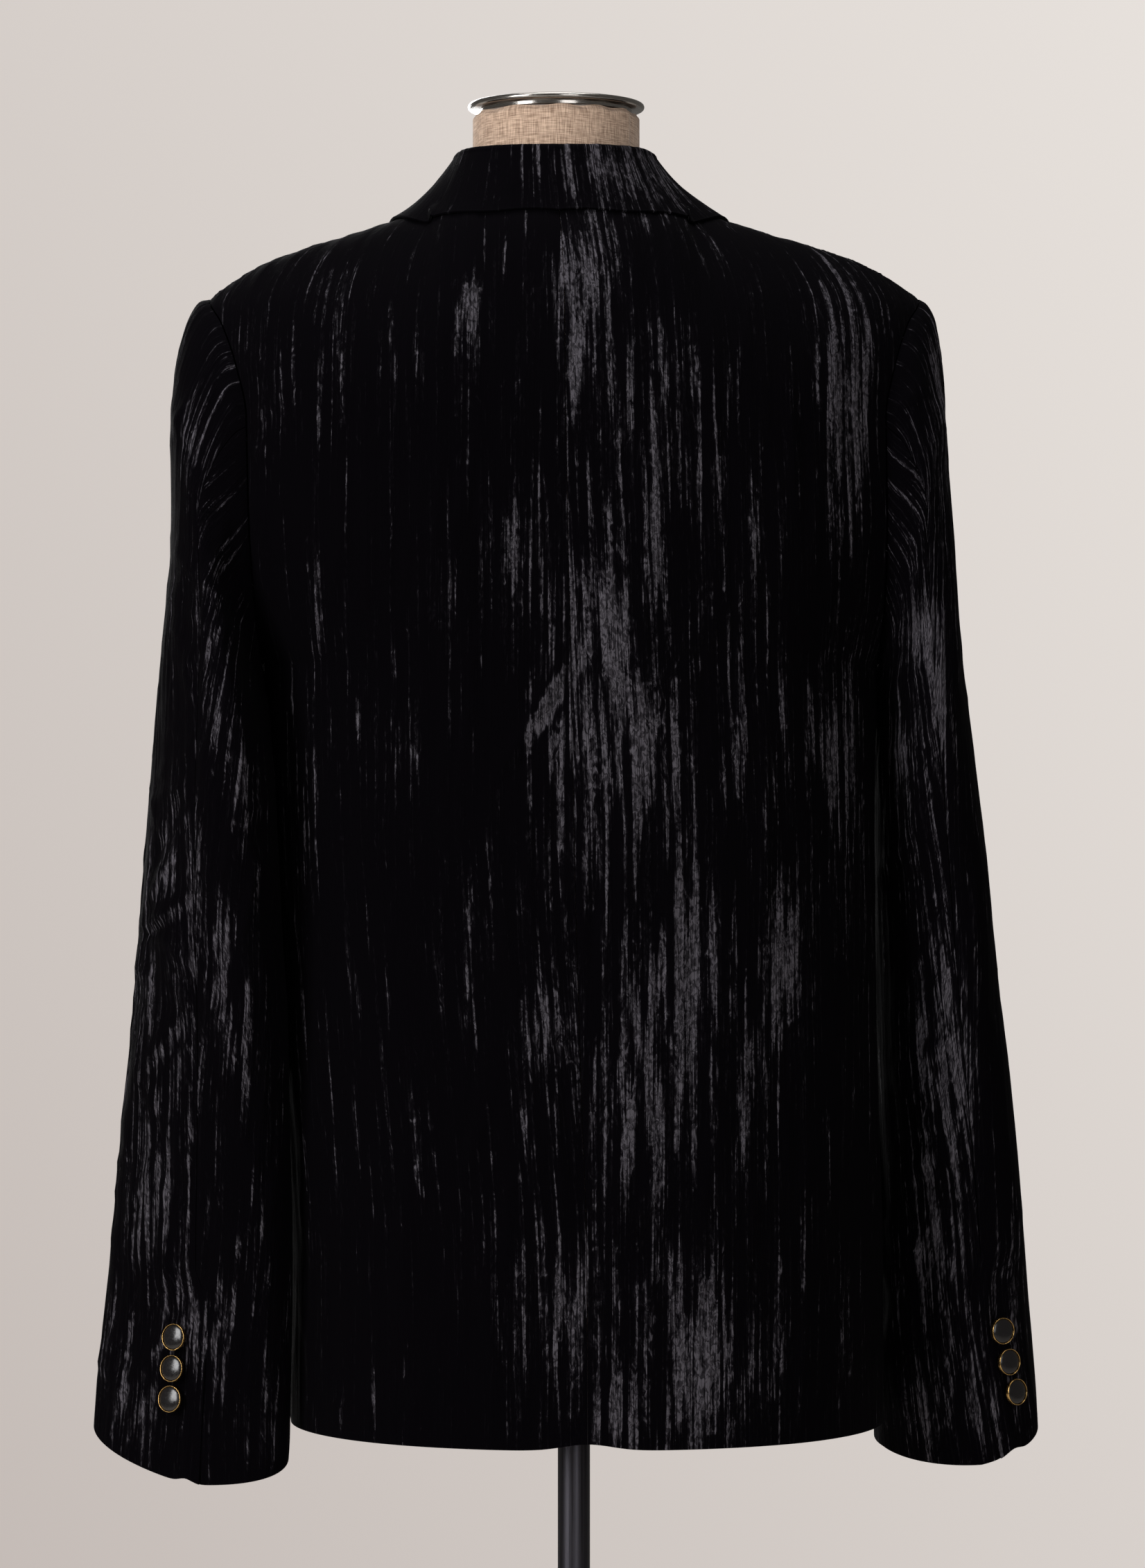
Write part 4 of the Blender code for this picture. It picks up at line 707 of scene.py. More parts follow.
# %% Creases as relief
def creases(table, x, z):
    """Sum of straight creases: a bell across each line, fading towards both ends. degrees is the
    lean from upright, towards -x at the top when it is positive."""
    total = np.zeros(x.shape)
    for crease_x, crease_z, degrees, half_length, width, height in table:
        cosine, sine = np.cos(np.radians(degrees)), np.sin(np.radians(degrees))
        reach = half_length + 3 * width
        near = (np.abs(x - crease_x) < reach) & (np.abs(z - crease_z) < reach)
        dx, dz = x[near] - crease_x, z[near] - crease_z
        along = (dz * cosine - dx * sine) / half_length
        across = (dx * cosine + dz * sine) / width
        total[near] += height * np.exp(-across ** 2) * np.clip(1 - along ** 2, 0, 1) ** 1.5
    return total


middle = creases(BACK_CREASES, np.linspace(-0.05, 0.05, 400), np.full(400, 1.15))
print(f"creases across the waist reach {1000 * np.ptp(middle):.1f} mm")

# %% [markdown]
# ## Fine crinkle
#
# Between the creases the whole cloth is pleated into thin, broken ridges that run with the grain.
# There are thousands, so they come from noise: random heights on a lattice whose cells are narrow
# across the grain and long with it. One minus the size of the noise makes narrow ridges where it
# passes through zero. The seed is fixed, so every run gives the same cloth.

# %% Crinkle
def lattice_noise(u, v, cell_u, cell_v, seed):
    """Noise from -1 to 1: random heights at the corners of cells, blended with eased weights."""
    heights = np.random.default_rng(seed).uniform(-1, 1, (256, 256))
    s, t = u / cell_u, v / cell_v
    i, j = np.floor(s).astype(int), np.floor(t).astype(int)
    f, g = ease(s - i), ease(t - j)
    near = heights[i % 256, j % 256] * (1 - f) + heights[(i + 1) % 256, j % 256] * f
    far = heights[i % 256, (j + 1) % 256] * (1 - f) + heights[(i + 1) % 256, (j + 1) % 256] * f
    return near * (1 - g) + far * g


def crinkle(u, v, seed):
    """Ridges in metres at a place on the flat cut: two sizes of ridged noise, wandering sideways."""
    wander = 0.004 * lattice_noise(u, v, 0.030, 0.060, seed + 1)
    broad = 1 - np.abs(lattice_noise(u + wander, v, 0.0085, 0.085, seed + 2))
    narrow = 1 - np.abs(lattice_noise(u + wander, v, 0.0050, 0.042, seed + 3))
    depth = 0.55 + 0.45 * lattice_noise(u, v, 0.045, 0.110, seed + 4)
    return depth * (0.0013 * broad ** 2 + 0.0006 * narrow ** 2) - 0.0007


patch = crinkle(*np.meshgrid(np.linspace(0, 0.1, 100), np.linspace(0, 0.1, 100)), 1)
print(f"crinkle {1000 * np.ptp(patch):.1f} mm deep on a patch of 10 cm")

# %% [markdown]
# ## Where the pile is crushed flat
#
# Upright pile swallows light and looks black. Where it was crushed flat it shines grey, in streaks,
# and that shine is painted sheen, a grey in the base colour. Each row below is one soft area of crushed
# pile, seen from behind: place, half width, half length and strength. The areas sit and weigh most where
# the studio light falls, so they are partly real crushed pile and partly painted highlight. It is stored
# on the mesh as a number from 0 to 1, and the material turns it into streaks of painted sheen. The
# front has areas of the same sizes in other places.

# %% Crushed areas and their painted sheen
CRUSH_SHEEN_BACK = np.array([
    (-0.0450, 1.0500, 0.045, 0.260, 0.17),
    (-0.0300, 1.3200, 0.060, 0.100, 0.10),
    (-0.1080, 1.1500, 0.040, 0.220, 0.15),
    (0.0200, 1.1400, 0.030, 0.180, 0.12),
    (0.0200, 0.8500, 0.060, 0.100, 0.08),
    (-0.0900, 0.8100, 0.050, 0.080, 0.24),
    (-0.1550, 1.3600, 0.022, 0.090, 0.36),
    (0.2200, 1.0300, 0.050, 0.110, 0.08),
    (0.2200, 0.8500, 0.050, 0.110, 0.08),
    (-0.1580, 1.1500, 0.014, 0.130, 0.34),
    (-0.0520, 1.4720, 0.026, 0.030, 0.45),
    (-0.1980, 1.2400, 0.022, 0.130, 0.34),
    (-0.2080, 0.9600, 0.024, 0.150, 0.26),
    (-0.2250, 0.8000, 0.040, 0.060, 0.34),
    (0.0120, 1.4950, 0.030, 0.020, 0.35),
    (-0.0220, 1.4750, 0.040, 0.022, 0.55),
    (-0.0060, 1.4150, 0.020, 0.036, 0.85),
    (-0.0010, 1.3550, 0.009, 0.034, 0.74),
    (0.0310, 1.2600, 0.016, 0.032, 0.41),
    (-0.0160, 1.2250, 0.018, 0.036, 0.61),
    (-0.0250, 1.1600, 0.028, 0.056, 0.72),
    (0.0130, 1.1700, 0.012, 0.026, 0.51),
    (-0.0560, 1.0250, 0.020, 0.062, 0.72),
    (-0.1170, 1.0350, 0.014, 0.046, 0.75),
    (-0.1000, 0.9560, 0.010, 0.040, 0.55),
    (0.0170, 0.9900, 0.016, 0.028, 0.60),
    (-0.0300, 0.9500, 0.030, 0.050, 0.60),
    (0.0120, 0.8400, 0.022, 0.040, 0.55),
    (-0.0680, 0.8050, 0.024, 0.050, 0.75),
    (-0.0250, 0.7800, 0.014, 0.028, 0.60),
    (-0.1500, 1.3700, 0.010, 0.050, 0.60),
    (-0.1560, 1.3100, 0.007, 0.044, 0.55),
    (-0.1440, 1.1500, 0.007, 0.036, 0.55),
    (-0.1500, 1.0500, 0.006, 0.030, 0.45),
    (0.1360, 1.4080, 0.012, 0.020, 0.40),
    (0.1290, 1.3600, 0.007, 0.030, 0.28),
    (0.0570, 1.3950, 0.007, 0.022, 0.75),
    (0.1430, 1.2270, 0.007, 0.044, 0.35),
    (0.0690, 1.2200, 0.005, 0.036, 0.45),
    (0.1560, 1.1000, 0.010, 0.080, 0.30),
    (-0.0450, 1.3100, 0.034, 0.060, 0.40),
    (0.0000, 1.1000, 0.012, 0.030, 0.47),
    (0.1900, 1.3750, 0.016, 0.028, 0.32),
    (0.2140, 1.3200, 0.014, 0.030, 0.40),
    (0.1980, 1.2500, 0.012, 0.040, 0.25),
    (0.2000, 1.1780, 0.010, 0.038, 0.48),
    (0.1850, 1.1300, 0.010, 0.030, 0.48),
    (0.2220, 1.0800, 0.018, 0.040, 0.36),
    (0.2360, 0.9920, 0.018, 0.044, 0.48),
    (0.2000, 1.0200, 0.012, 0.038, 0.44),
    (0.1820, 0.9800, 0.010, 0.030, 0.48),
    (0.2420, 0.8950, 0.022, 0.050, 0.40),
    (0.2140, 0.8200, 0.028, 0.030, 0.44),
    (0.2460, 0.7700, 0.018, 0.028, 0.48),
    (0.1820, 0.7700, 0.016, 0.030, 0.40),
    (-0.2080, 1.3450, 0.008, 0.050, 0.75),
    (-0.1980, 1.2120, 0.009, 0.018, 0.90),
    (-0.2080, 1.1700, 0.007, 0.024, 0.60),
    (-0.1860, 1.1440, 0.007, 0.024, 0.60),
    (-0.2100, 1.0300, 0.007, 0.050, 0.55),
    (-0.2140, 0.9400, 0.014, 0.060, 0.65),
    (-0.2080, 0.8600, 0.014, 0.034, 0.50),
    (-0.2120, 0.7700, 0.024, 0.026, 0.45),
    (-0.2520, 0.8400, 0.008, 0.040, 0.40),
])
CRUSH_SHEEN_FRONT = CRUSH_SHEEN_BACK * np.array([-0.85, 1.0, 1.1, 1.0, 0.9]) + np.array([0.004, -0.020, 0.0, 0.0, 0.0])


def crushed(table, x, z):
    """Painted sheen of the crushed areas: one minus the product of what each area leaves dark, 1 - strength *
    exp(-across^2 - along^2).
    """
    dark = np.ones(x.shape)
    for area_x, area_z, half_width, half_length, strength in table:
        bell = np.exp(-((x - area_x) / half_width) ** 2 - ((z - area_z) / half_length) ** 2)
        dark = dark * (1 - strength * bell)
    return 1 - dark


print(len(CRUSH_SHEEN_BACK), "areas of crushed pile on each side")

# %% [markdown]
# ## One thin shell for each cut piece
#
# A cut piece has an outer face and a lining 1.2 mm inside it, joined by a rim, so it is a closed
# shell and casts a true shadow. The outer face starts on the solid's face and moves along its normal
# by the creases and the crinkle. Both fade at the seams, where the cloth is stitched down and dips,
# which draws the seam line. Positions on the flat cut are kept as a UV map in metres, so the grain
# runs with the cloth.

# %% Sizes of the cut pieces
SHELL = 0.0012
SEAM_DIP, SEAM_WIDTH = 0.0004, 0.0030


# %% Normals and lengths on a surface
def surface_normals(surface, s, k, step=1e-3):
    """Unit normals by the cross product of short steps along both parameters, kept in range."""
    s_low, s_high = np.clip(s - step, s.min(), s.max()), np.clip(s + step, s.min(), s.max())
    k_low, k_high = np.clip(k - step, k.min(), k.max()), np.clip(k + step, k.min(), k.max())
    return unit(np.cross(surface(s_high, k) - surface(s_low, k), surface(s, k_high) - surface(s, k_low)))


def flat_cut(points):
    """Distance along each row and up each column from the first corner, in metres."""
    across = np.linalg.norm(np.diff(points, axis=1), axis=-1)
    up = np.linalg.norm(np.diff(points, axis=0), axis=-1)
    u = np.concatenate([np.zeros((len(points), 1)), np.cumsum(across, 1)], 1)
    v = np.concatenate([np.zeros((1, points.shape[1])), np.cumsum(up, 0)], 0)
    return u, v


def flat_area(points):
    """Area of a grid: half the length of the cross product of each cell's two diagonals."""
    first, second = points[1:, 1:] - points[:-1, :-1], points[1:, :-1] - points[:-1, 1:]
    return np.linalg.norm(np.cross(first, second), axis=-1).sum() / 2


def even_columns(surface, low, high, count, row):
    """Column values that are evenly spaced along one row of the surface, by inverting its length."""
    fine = np.linspace(low, high, 400)
    line = surface(fine[None, :], np.full((1, 400), row))[0]
    length = np.concatenate([[0], np.cumsum(np.linalg.norm(np.diff(line, axis=0), axis=-1))])
    return np.interp(np.linspace(0, length[-1], count), length, fine)


# %% Shell mesh
def shell_faces(rows, columns):
    """Quads of the outer grid, the lining grid wound the other way, and the rim between them."""
    n = rows * columns
    index = np.arange(n).reshape(rows, columns)
    a, b, c, d = index[:-1, :-1], index[:-1, 1:], index[1:, 1:], index[1:, :-1]
    outer = np.stack([a, b, c, d], -1).reshape(-1, 4)
    rim = []
    for line in (index[0], index[:, -1], index[-1][::-1], index[::-1, 0]):
        p, q = line[:-1], line[1:]
        rim.append(np.stack([q, p, p + n, q + n], -1))
    return outer, outer[:, ::-1] + n, np.concatenate(rim)


def add_shell(name, outer, inner, cut, crush_sheen, finishes):
    """Object from two grids: a closed mesh, the cut as UV map and the crushed pile with its painted sheen as
    attribute.
    """
    rows, columns = outer.shape[:2]
    faces = np.concatenate(shell_faces(rows, columns))
    points = np.concatenate([outer.reshape(-1, 3), inner.reshape(-1, 3)])
    mesh = bpy.data.meshes.new(name)
    mesh.from_pydata(points.tolist(), [], faces.tolist())
    quads = (rows - 1) * (columns - 1)
    finish_of = np.zeros(len(faces), np.int32)
    finish_of[quads:2 * quads] = 1
    mesh.polygons.foreach_set("material_index", finish_of)
    flat = np.tile(np.stack(cut, -1).reshape(-1, 2), (2, 1))
    mesh.uv_layers.new(name="cut").data.foreach_set("uv", flat[faces.ravel()].astype(np.float32).ravel())
    # The crushed pile and its painted sheen, stored on the points
    pile = mesh.attributes.new("crush_sheen", "FLOAT", "POINT")
    pile.data.foreach_set("value", np.tile(crush_sheen.ravel(), 2).astype(np.float32))
    for finish in finishes:
        mesh.materials.append(finish)
    mesh.shade_smooth()
    mesh.set_sharp_from_angle(angle=np.radians(55))
    piece = bpy.data.objects.new(name, mesh)
    bpy.context.scene.collection.objects.link(piece)
    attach(piece, "root")
    return piece


# %% Seams and grain
PIECE_SHIFT = 0.37


def seam_distance(u, v):
    """Distance on the cut to the nearest of the four edges."""
    return np.minimum(np.minimum(u, u.max(1, keepdims=True) - u), np.minimum(v, v.max(0, keepdims=True) - v))


def grain_of(u, v, x, lay, turn, seed):
    """Straight grain, as distances across and along it. lay says what it runs parallel to: "plumb" is
    the centre line, "middle" the piece's middle column, and "crosswise" turns it across the piece.
    Each piece's seed shifts it along the pattern, so that no two pieces match."""
    if lay == "crosswise":
        return np.broadcast_to(v[:, [v.shape[1] // 2]], v.shape) + PIECE_SHIFT * seed, u
    if lay == "middle":
        return u - u[:, [u.shape[1] // 2]] + PIECE_SHIFT * seed, v
    rail, way = (-1, -1) if turn else (0, 1)
    return way * (u - u[:, [rail]]) + np.abs(x[:, [rail]]) + PIECE_SHIFT * seed, v


# %% Dress one piece
# Painted highlight: how strongly one flank of each crease adds to the crushed pile's painted sheen
TILT_HIGHLIGHT_GAIN, TILT_HIGHLIGHT_BASE = 1.6, 0.20
EDGE_FADE, PRESSED_WIDTH = 0.008, 0.012


def dress(name, node, surface, first, second, finishes, seed, start=0.0, strength=1.0, turn=False,
          lay="plumb", pressed=0.0):
    """A cut piece: the surface on a grid, moved along its normals by creases, crinkle and seams.
    start is where the solid's outer face lies from the surface, turn reverses the grid, and pressed
    is how far the edges lie nearer to the cloth under them. The relief's tilt adds painted highlight to
    the crushed pile's painted sheen, on the crease flanks that slope one way, as if turned to the light."""
    s, k = np.meshgrid(first, second)
    base = surface(s, k)
    normals = surface_normals(surface, s, k)
    if turn:
        s, k, base, normals = s[:, ::-1], k[:, ::-1], base[:, ::-1], -normals[:, ::-1]
    u, v = flat_cut(base)
    edge = seam_distance(u, v)
    behind, before = ease((normals[..., 1] + 0.10) / 0.5), ease((-normals[..., 1] + 0.10) / 0.5)
    x, z = base[..., 0], base[..., 2]
    relief = creases(BACK_CREASES, x, z) * behind + creases(FRONT_CREASES, x, z) * before
    grain = grain_of(u, v, x, lay, turn, seed)
    relief = strength * (relief + crinkle(*grain, seed)) * ease(edge / EDGE_FADE)
    # The relief's slope across and up: one flank of each crease gets painted highlight, as if turned to the
    # light
    tilt = np.gradient(relief, axis=1) / np.gradient(u, axis=1) * np.sign(np.gradient(x, axis=1))
    tilt = tilt + 0.6 * np.gradient(relief, axis=0) / np.gradient(v, axis=0) * np.sign(np.gradient(z, axis=0))
    relief = relief - SEAM_DIP * np.exp(-(edge / SEAM_WIDTH) ** 2)
    relief = relief - pressed * np.exp(-(edge / PRESSED_WIDTH) ** 2)
    # Painted sheen and highlight: crushed areas placed where the light falls, plus the tilt's painted
    # highlight
    crush_sheen = crushed(CRUSH_SHEEN_BACK, x, z) * behind + crushed(CRUSH_SHEEN_FRONT, x, z) * before
    crush_sheen = np.clip(crush_sheen + TILT_HIGHLIGHT_GAIN * tilt * (TILT_HIGHLIGHT_BASE + crush_sheen), 0, 1)
    outer = base + (start + relief)[..., None] * normals
    inner = outer - SHELL * normals
    piece = add_shell(name, outer, inner, grain, crush_sheen, finishes)
    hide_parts(node)
    print(f"{name}: measured {u.max():.3f} x {v.max():.3f} m and {flat_area(base):.4f} m2, "
          f"{2 * len(piece.data.polygons)} triangles")
    return piece


# %% [markdown]
# ## Colours and nodes
#
# Colours are written as the eye names them, in sRGB hex, and one function turns them into the linear
# values that light is worked out with. One more function adds a node and sets or links its inputs.

# %% Colour and node helpers
def linear(hex_colour, alpha=1.0):
    """sRGB hex to linear RGBA: c / 12.92 below 0.04045, ((c + 0.055) / 1.055)^2.4 above."""
    srgb = np.array([int(hex_colour[i:i + 2], 16) for i in (1, 3, 5)]) / 255
    value = np.where(srgb <= 0.04045, srgb / 12.92, ((srgb + 0.055) / 1.055) ** 2.4)
    return (*value.tolist(), alpha)


def add_node(tree, kind, settings=None, inputs=None):
    """A node with its settings, and each input either linked from a socket or given a value."""
    node = tree.nodes.new(kind)
    for name, value in (settings or {}).items():
        setattr(node, name, value)
    for key, value in (inputs or {}).items():
        if isinstance(value, bpy.types.NodeSocket):
            tree.links.new(value, node.inputs[key])
        else:
            node.inputs[key].default_value = value
    return node


def new_material(name):
    """A material and its shader, named for the real finish."""
    made = bpy.data.materials.new(name)
    made.use_nodes = True
    return made.node_tree, made.node_tree.nodes["Principled BSDF"], made


print("middle grey #808080 is", round(linear("#808080")[0], 3), "in linear light")

# %% [markdown]
# ## Crushed velvet
#
# The cloth is black rayon velvet whose pile was crushed in streaks along the grain. Standing pile is
# close to black and has hardly any gloss. Crushed pile lies flat, so it reflects like a satin; that shine
# is painted here as a warm dark grey in the base colour, with the specular turned nearly off. Noise
# stretched 20 to 40 times along the grain gives the streaks, rounder flecks tear their edges, and the
# crushed areas on the mesh decide how many of them show.

# %% Velvet material
# Real sizes of the pattern: broad ribbons and thin lines along the grain, flecks, single tufts
RIBBON_MM, RIBBON_LENGTH_MM = 5.0, 110.0
LINE_MM, LINE_LENGTH_MM = 1.8, 70.0
FLECK_MM = 4.0
PILE_MM = 1.9

tree, shader, velvet = new_material("crushed_velvet")
cut_map = add_node(tree, "ShaderNodeUVMap", {"uv_map": "cut"})
# The crushed pile with its painted sheen, from the mesh
pile = add_node(tree, "ShaderNodeAttribute", {"attribute_name": "crush_sheen"})


def cloth_noise(tree, cut_map, across_mm, along_mm, detail, distortion=0.0):
    """Noise on the flat cut with cells of a real size, across and along the grain."""
    place = add_node(tree, "ShaderNodeMapping", None, {
        "Vector": cut_map.outputs["UV"], "Scale": (1000 / across_mm, 1000 / along_mm, 1.0)})
    return add_node(tree, "ShaderNodeTexNoise", {"noise_dimensions": "2D"}, {
        "Vector": place.outputs["Vector"], "Scale": 1.0, "Detail": detail, "Roughness": 0.6,
        "Distortion": distortion}).outputs["Fac"]


ribbons = cloth_noise(tree, cut_map, RIBBON_MM, RIBBON_LENGTH_MM, 4.0, 0.3)
lines = cloth_noise(tree, cut_map, LINE_MM, LINE_LENGTH_MM, 3.0, 0.2)
tufts = cloth_noise(tree, cut_map, PILE_MM, 2.0 * PILE_MM, 4.0, 0.8)
flecks = cloth_noise(tree, cut_map, FLECK_MM, 2.6 * FLECK_MM, 4.0, 1.2)
print("noise for ribbons, lines, tufts and flecks added to", velvet.name)

# %% [markdown]
# The streaks and the crushed areas are added up, and a threshold decides where the pile lies flat and
# gets painted sheen. A fainter step of painted sheen round it keeps the edges soft, furrows part the
# streaks and single tufts speckle them.

# %% Where the painted sheen shows
streaks = add_node(tree, "ShaderNodeMath", {"operation": "MULTIPLY_ADD"}, {0: lines, 1: 0.5, 2: ribbons})
torn = add_node(tree, "ShaderNodeMath", {"operation": "MULTIPLY_ADD"}, {
    0: flecks, 1: 0.42, 2: streaks.outputs[0]})
shown = add_node(tree, "ShaderNodeMath", {"operation": "MULTIPLY_ADD"}, {
    0: pile.outputs["Fac"], 1: 0.43, 2: torn.outputs[0]})
lying_sheen = add_node(tree, "ShaderNodeMapRange", {"interpolation_type": "SMOOTHSTEP"}, {
    "Value": shown.outputs[0], "From Min": 1.165, "From Max": 1.295})
faint_sheen = add_node(tree, "ShaderNodeMapRange", {"interpolation_type": "SMOOTHSTEP"}, {
    "Value": shown.outputs[0], "From Min": 1.05, "From Max": 1.21, "To Max": 0.05})
either = add_node(tree, "ShaderNodeMath", {"operation": "MAXIMUM"}, {
    0: lying_sheen.outputs[0], 1: faint_sheen.outputs[0]})
from_middle = add_node(tree, "ShaderNodeMath", {"operation": "SUBTRACT"}, {0: lines, 1: 0.5})
either_way = add_node(tree, "ShaderNodeMath", {"operation": "ABSOLUTE"}, {0: from_middle.outputs[0]})
furrows = add_node(tree, "ShaderNodeMapRange", {"interpolation_type": "SMOOTHSTEP"}, {
    "Value": either_way.outputs[0], "From Min": 0.0, "From Max": 0.060, "To Min": 0.08})
speckle = add_node(tree, "ShaderNodeMapRange", {"interpolation_type": "SMOOTHSTEP"}, {
    "Value": tufts, "From Min": 0.40, "From Max": 0.60, "To Min": 0.24})
furrowed = add_node(tree, "ShaderNodeMath", {"operation": "MULTIPLY"}, {
    0: either.outputs[0], 1: furrows.outputs[0]})
painted_sheen = add_node(tree, "ShaderNodeMath", {"operation": "MULTIPLY"}, {
    0: furrowed.outputs[0], 1: speckle.outputs[0]})
# Painted sheen: the grey that lit, crushed pile shows is painted into the base colour
sheen_tint = add_node(tree, "ShaderNodeValToRGB", None, {"Fac": painted_sheen.outputs[0]})
sheen_tint.color_ramp.elements[0].color = linear("#020103")
sheen_tint.color_ramp.elements[1].color = linear("#4e4b51")
gloss = add_node(tree, "ShaderNodeMapRange", None, {
    "Value": painted_sheen.outputs[0], "To Min": 1.0, "To Max": 0.55})
nap = add_node(tree, "ShaderNodeBump", None, {
    "Strength": 0.5, "Distance": 0.0010, "Height": torn.outputs[0]})

# %% Velvet shader
tree.links.new(sheen_tint.outputs["Color"], shader.inputs["Base Color"])
tree.links.new(gloss.outputs[0], shader.inputs["Roughness"])
tree.links.new(nap.outputs["Normal"], shader.inputs["Normal"])
# Specular nearly off, because the sheen is painted into the base colour
shader.inputs["Specular IOR Level"].default_value = 0.04
print("velvet ribbons", RIBBON_MM, "mm wide and", RIBBON_LENGTH_MM, "mm long")

# %% [markdown]
# The lining is acetate satin: thin, smooth and dark, with a soft gloss and a faint twill line.

# %% Lining material
tree, shader, lining = new_material("acetate_satin_lining")
cut_map = add_node(tree, "ShaderNodeUVMap", {"uv_map": "cut"})
twill_place = add_node(tree, "ShaderNodeMapping", None, {
    "Vector": cut_map.outputs["UV"], "Rotation": (0, 0, np.radians(60)), "Scale": (450, 450, 1.0)})
twill = add_node(tree, "ShaderNodeTexWave", {"wave_type": "BANDS"}, {
    "Vector": twill_place.outputs["Vector"], "Scale": 1.0, "Distortion": 0.4, "Detail": 1.0})
twill_bump = add_node(tree, "ShaderNodeBump", None, {
    "Strength": 0.15, "Distance": 0.0002, "Height": twill.outputs["Fac"]})
tree.links.new(twill_bump.outputs["Normal"], shader.inputs["Normal"])
shader.inputs["Base Color"].default_value = linear("#141216")
shader.inputs["Roughness"].default_value = 0.38
shader.inputs["Sheen Weight"].default_value = 0.1
print("lining:", lining.name)

# %% [markdown]
# ## Dressing the body
#
# The panels now only need their grids. Columns are spaced evenly round the hem so that no crinkle is
# lost at the side, where the surface turns fastest, and rows lie 5 mm apart.

# %% Back and fronts
CLOTH = (velvet, lining)
body_rows = np.concatenate([np.linspace(0, SPLIT, 90), np.linspace(SPLIT, 1, 66)[1:]])
cloth_pieces = {}
for side, word in ((1, "left"), (-1, "right")):
    def back(s, k, side=side):
        return back_point(s, k, side)
    def front(s, k, side=side):
        return front_point(s, k, side)
    cloth_pieces[f"back_{word}"] = dress(
        f"velvet_back_{word}", f"back_{word}", back, even_columns(back, 0.0, 1.0, 104, 0.35), body_rows,
        CLOTH, 10 + side, turn=side > 0)
    cloth_pieces[f"front_{word}"] = dress(
        f"velvet_front_{word}", f"front_{word}", front, even_columns(front, 0.0, 1.0, 100, 0.35), body_rows,
        CLOTH, 20 + side, turn=side < 0)

# %% [markdown]
# The lapel's and the collar's surfaces are the middle of the cloth, so their outer face starts half
# a wall out. Their cloth is backed with canvas, which holds it smoother than the body, so the relief
# is weaker here.

# %% Lapels and collar
for side, word in ((1, "left"), (-1, "right")):
    def lapel(b, v, side=side):
        return lapel_point(b, v, side)
    cloth_pieces[f"lapel_{word}"] = dress(
        f"velvet_lapel_{word}", f"lapel_{word}", lapel,
        np.concatenate([np.linspace(0, 0.25, 9), np.linspace(0.25, 1, 46)[1:]]), np.linspace(0, 1, 110),
        CLOTH, 30 + side, start=LAPEL_WALL / 2, strength=0.35, turn=side < 0, pressed=0.0006)
collar_across = np.concatenate([
    np.linspace(0, 0.30, 18), np.linspace(0.30, 0.55, 14)[1:], np.linspace(0.55, 1, 34)[1:]])
cloth_pieces["collar"] = dress(
    "velvet_collar", "collar", collar_point, collar_across, np.linspace(-1, 1, 241),
    CLOTH, 40, start=COLLAR_WALL / 2, strength=0.35, turn=True, lay="crosswise", pressed=0.0012)

# %% [markdown]
# Each sleeve piece runs between the two seams, a quarter of a millimetre clear of each. The seam angle
# turns a little down the arm, as a tailored sleeve's does. At the hem the cuff hangs to a low point
# behind, and the vent's corner leaves a small notch.

# %% Sleeves
VENT_START, VENT_LAP, VENT_LIFT = 0.86, 0.0080, 0.0017
NOTCH_HEIGHT, NOTCH_WIDTH, HEM_START = 0.0030, 0.006, 0.93
# How far each cuff hangs, at what angle it is lowest, and how many degrees that reaches to each side
CUFF_POINT = {1: (0.0100, 92, 88), -1: (0.0060, 76, 80)}


def sleeve_piece(side, table, fold_table, under):
    """Surface of an upper or under sleeve: share 0 to 1 from seam to seam, v down the arm. Over the
    cuff vent the upper sleeve laps 8 mm over the under sleeve, and the hem hangs to a point behind."""
    hang, lowest, spread = CUFF_POINT[side]
    def point(u, v):
        return sleeve_point(u, v, side, table, fold_table)
    def per_metre(u, v):
        return 0.02 / np.linalg.norm(point(u + 0.01, v) - point(u - 0.01, v), axis=-1)
    def surface(share, v):
        back, front = np.radians(sleeve(table, "seam", v)), np.radians(FRONT_SEAM_DEG) * np.ones_like(v)
        first, last = (back, 2 * np.pi + front) if under else (front, back)
        first = first + 0.85 * SEAM * per_metre(first, v)
        last = last - 0.85 * SEAM * per_metre(last, v)
        vent = ease((v - VENT_START) / 0.03)
        if not under:
            last = last + (VENT_LAP + SEAM) * vent * per_metre(last, v)
        u = first + (last - first) * share
        cloth = point(u, v)
        from_seam = np.abs(u - back) / per_metre(back, v)
        if not under:
            lift = VENT_LIFT * vent * ease((u - back) / per_metre(back, v) / 0.006 + 1)
            outward = unit(np.stack([side * 0.35 * np.cos(u), np.sin(u), 0 * u], -1))
            cloth = cloth + lift[..., None] * outward
        at_hem = ease((v - HEM_START) / (1 - HEM_START))
        degrees = np.degrees(u)
        cloth[..., 2] -= hang * at_hem * np.clip(1 - np.abs(degrees - lowest) / spread, 0, 1)
        cloth[..., 2] += NOTCH_HEIGHT * at_hem * np.exp(-(from_seam / NOTCH_WIDTH) ** 2)
        return cloth
    return surface


print("cuff vents lap", 1000 * VENT_LAP, "mm")

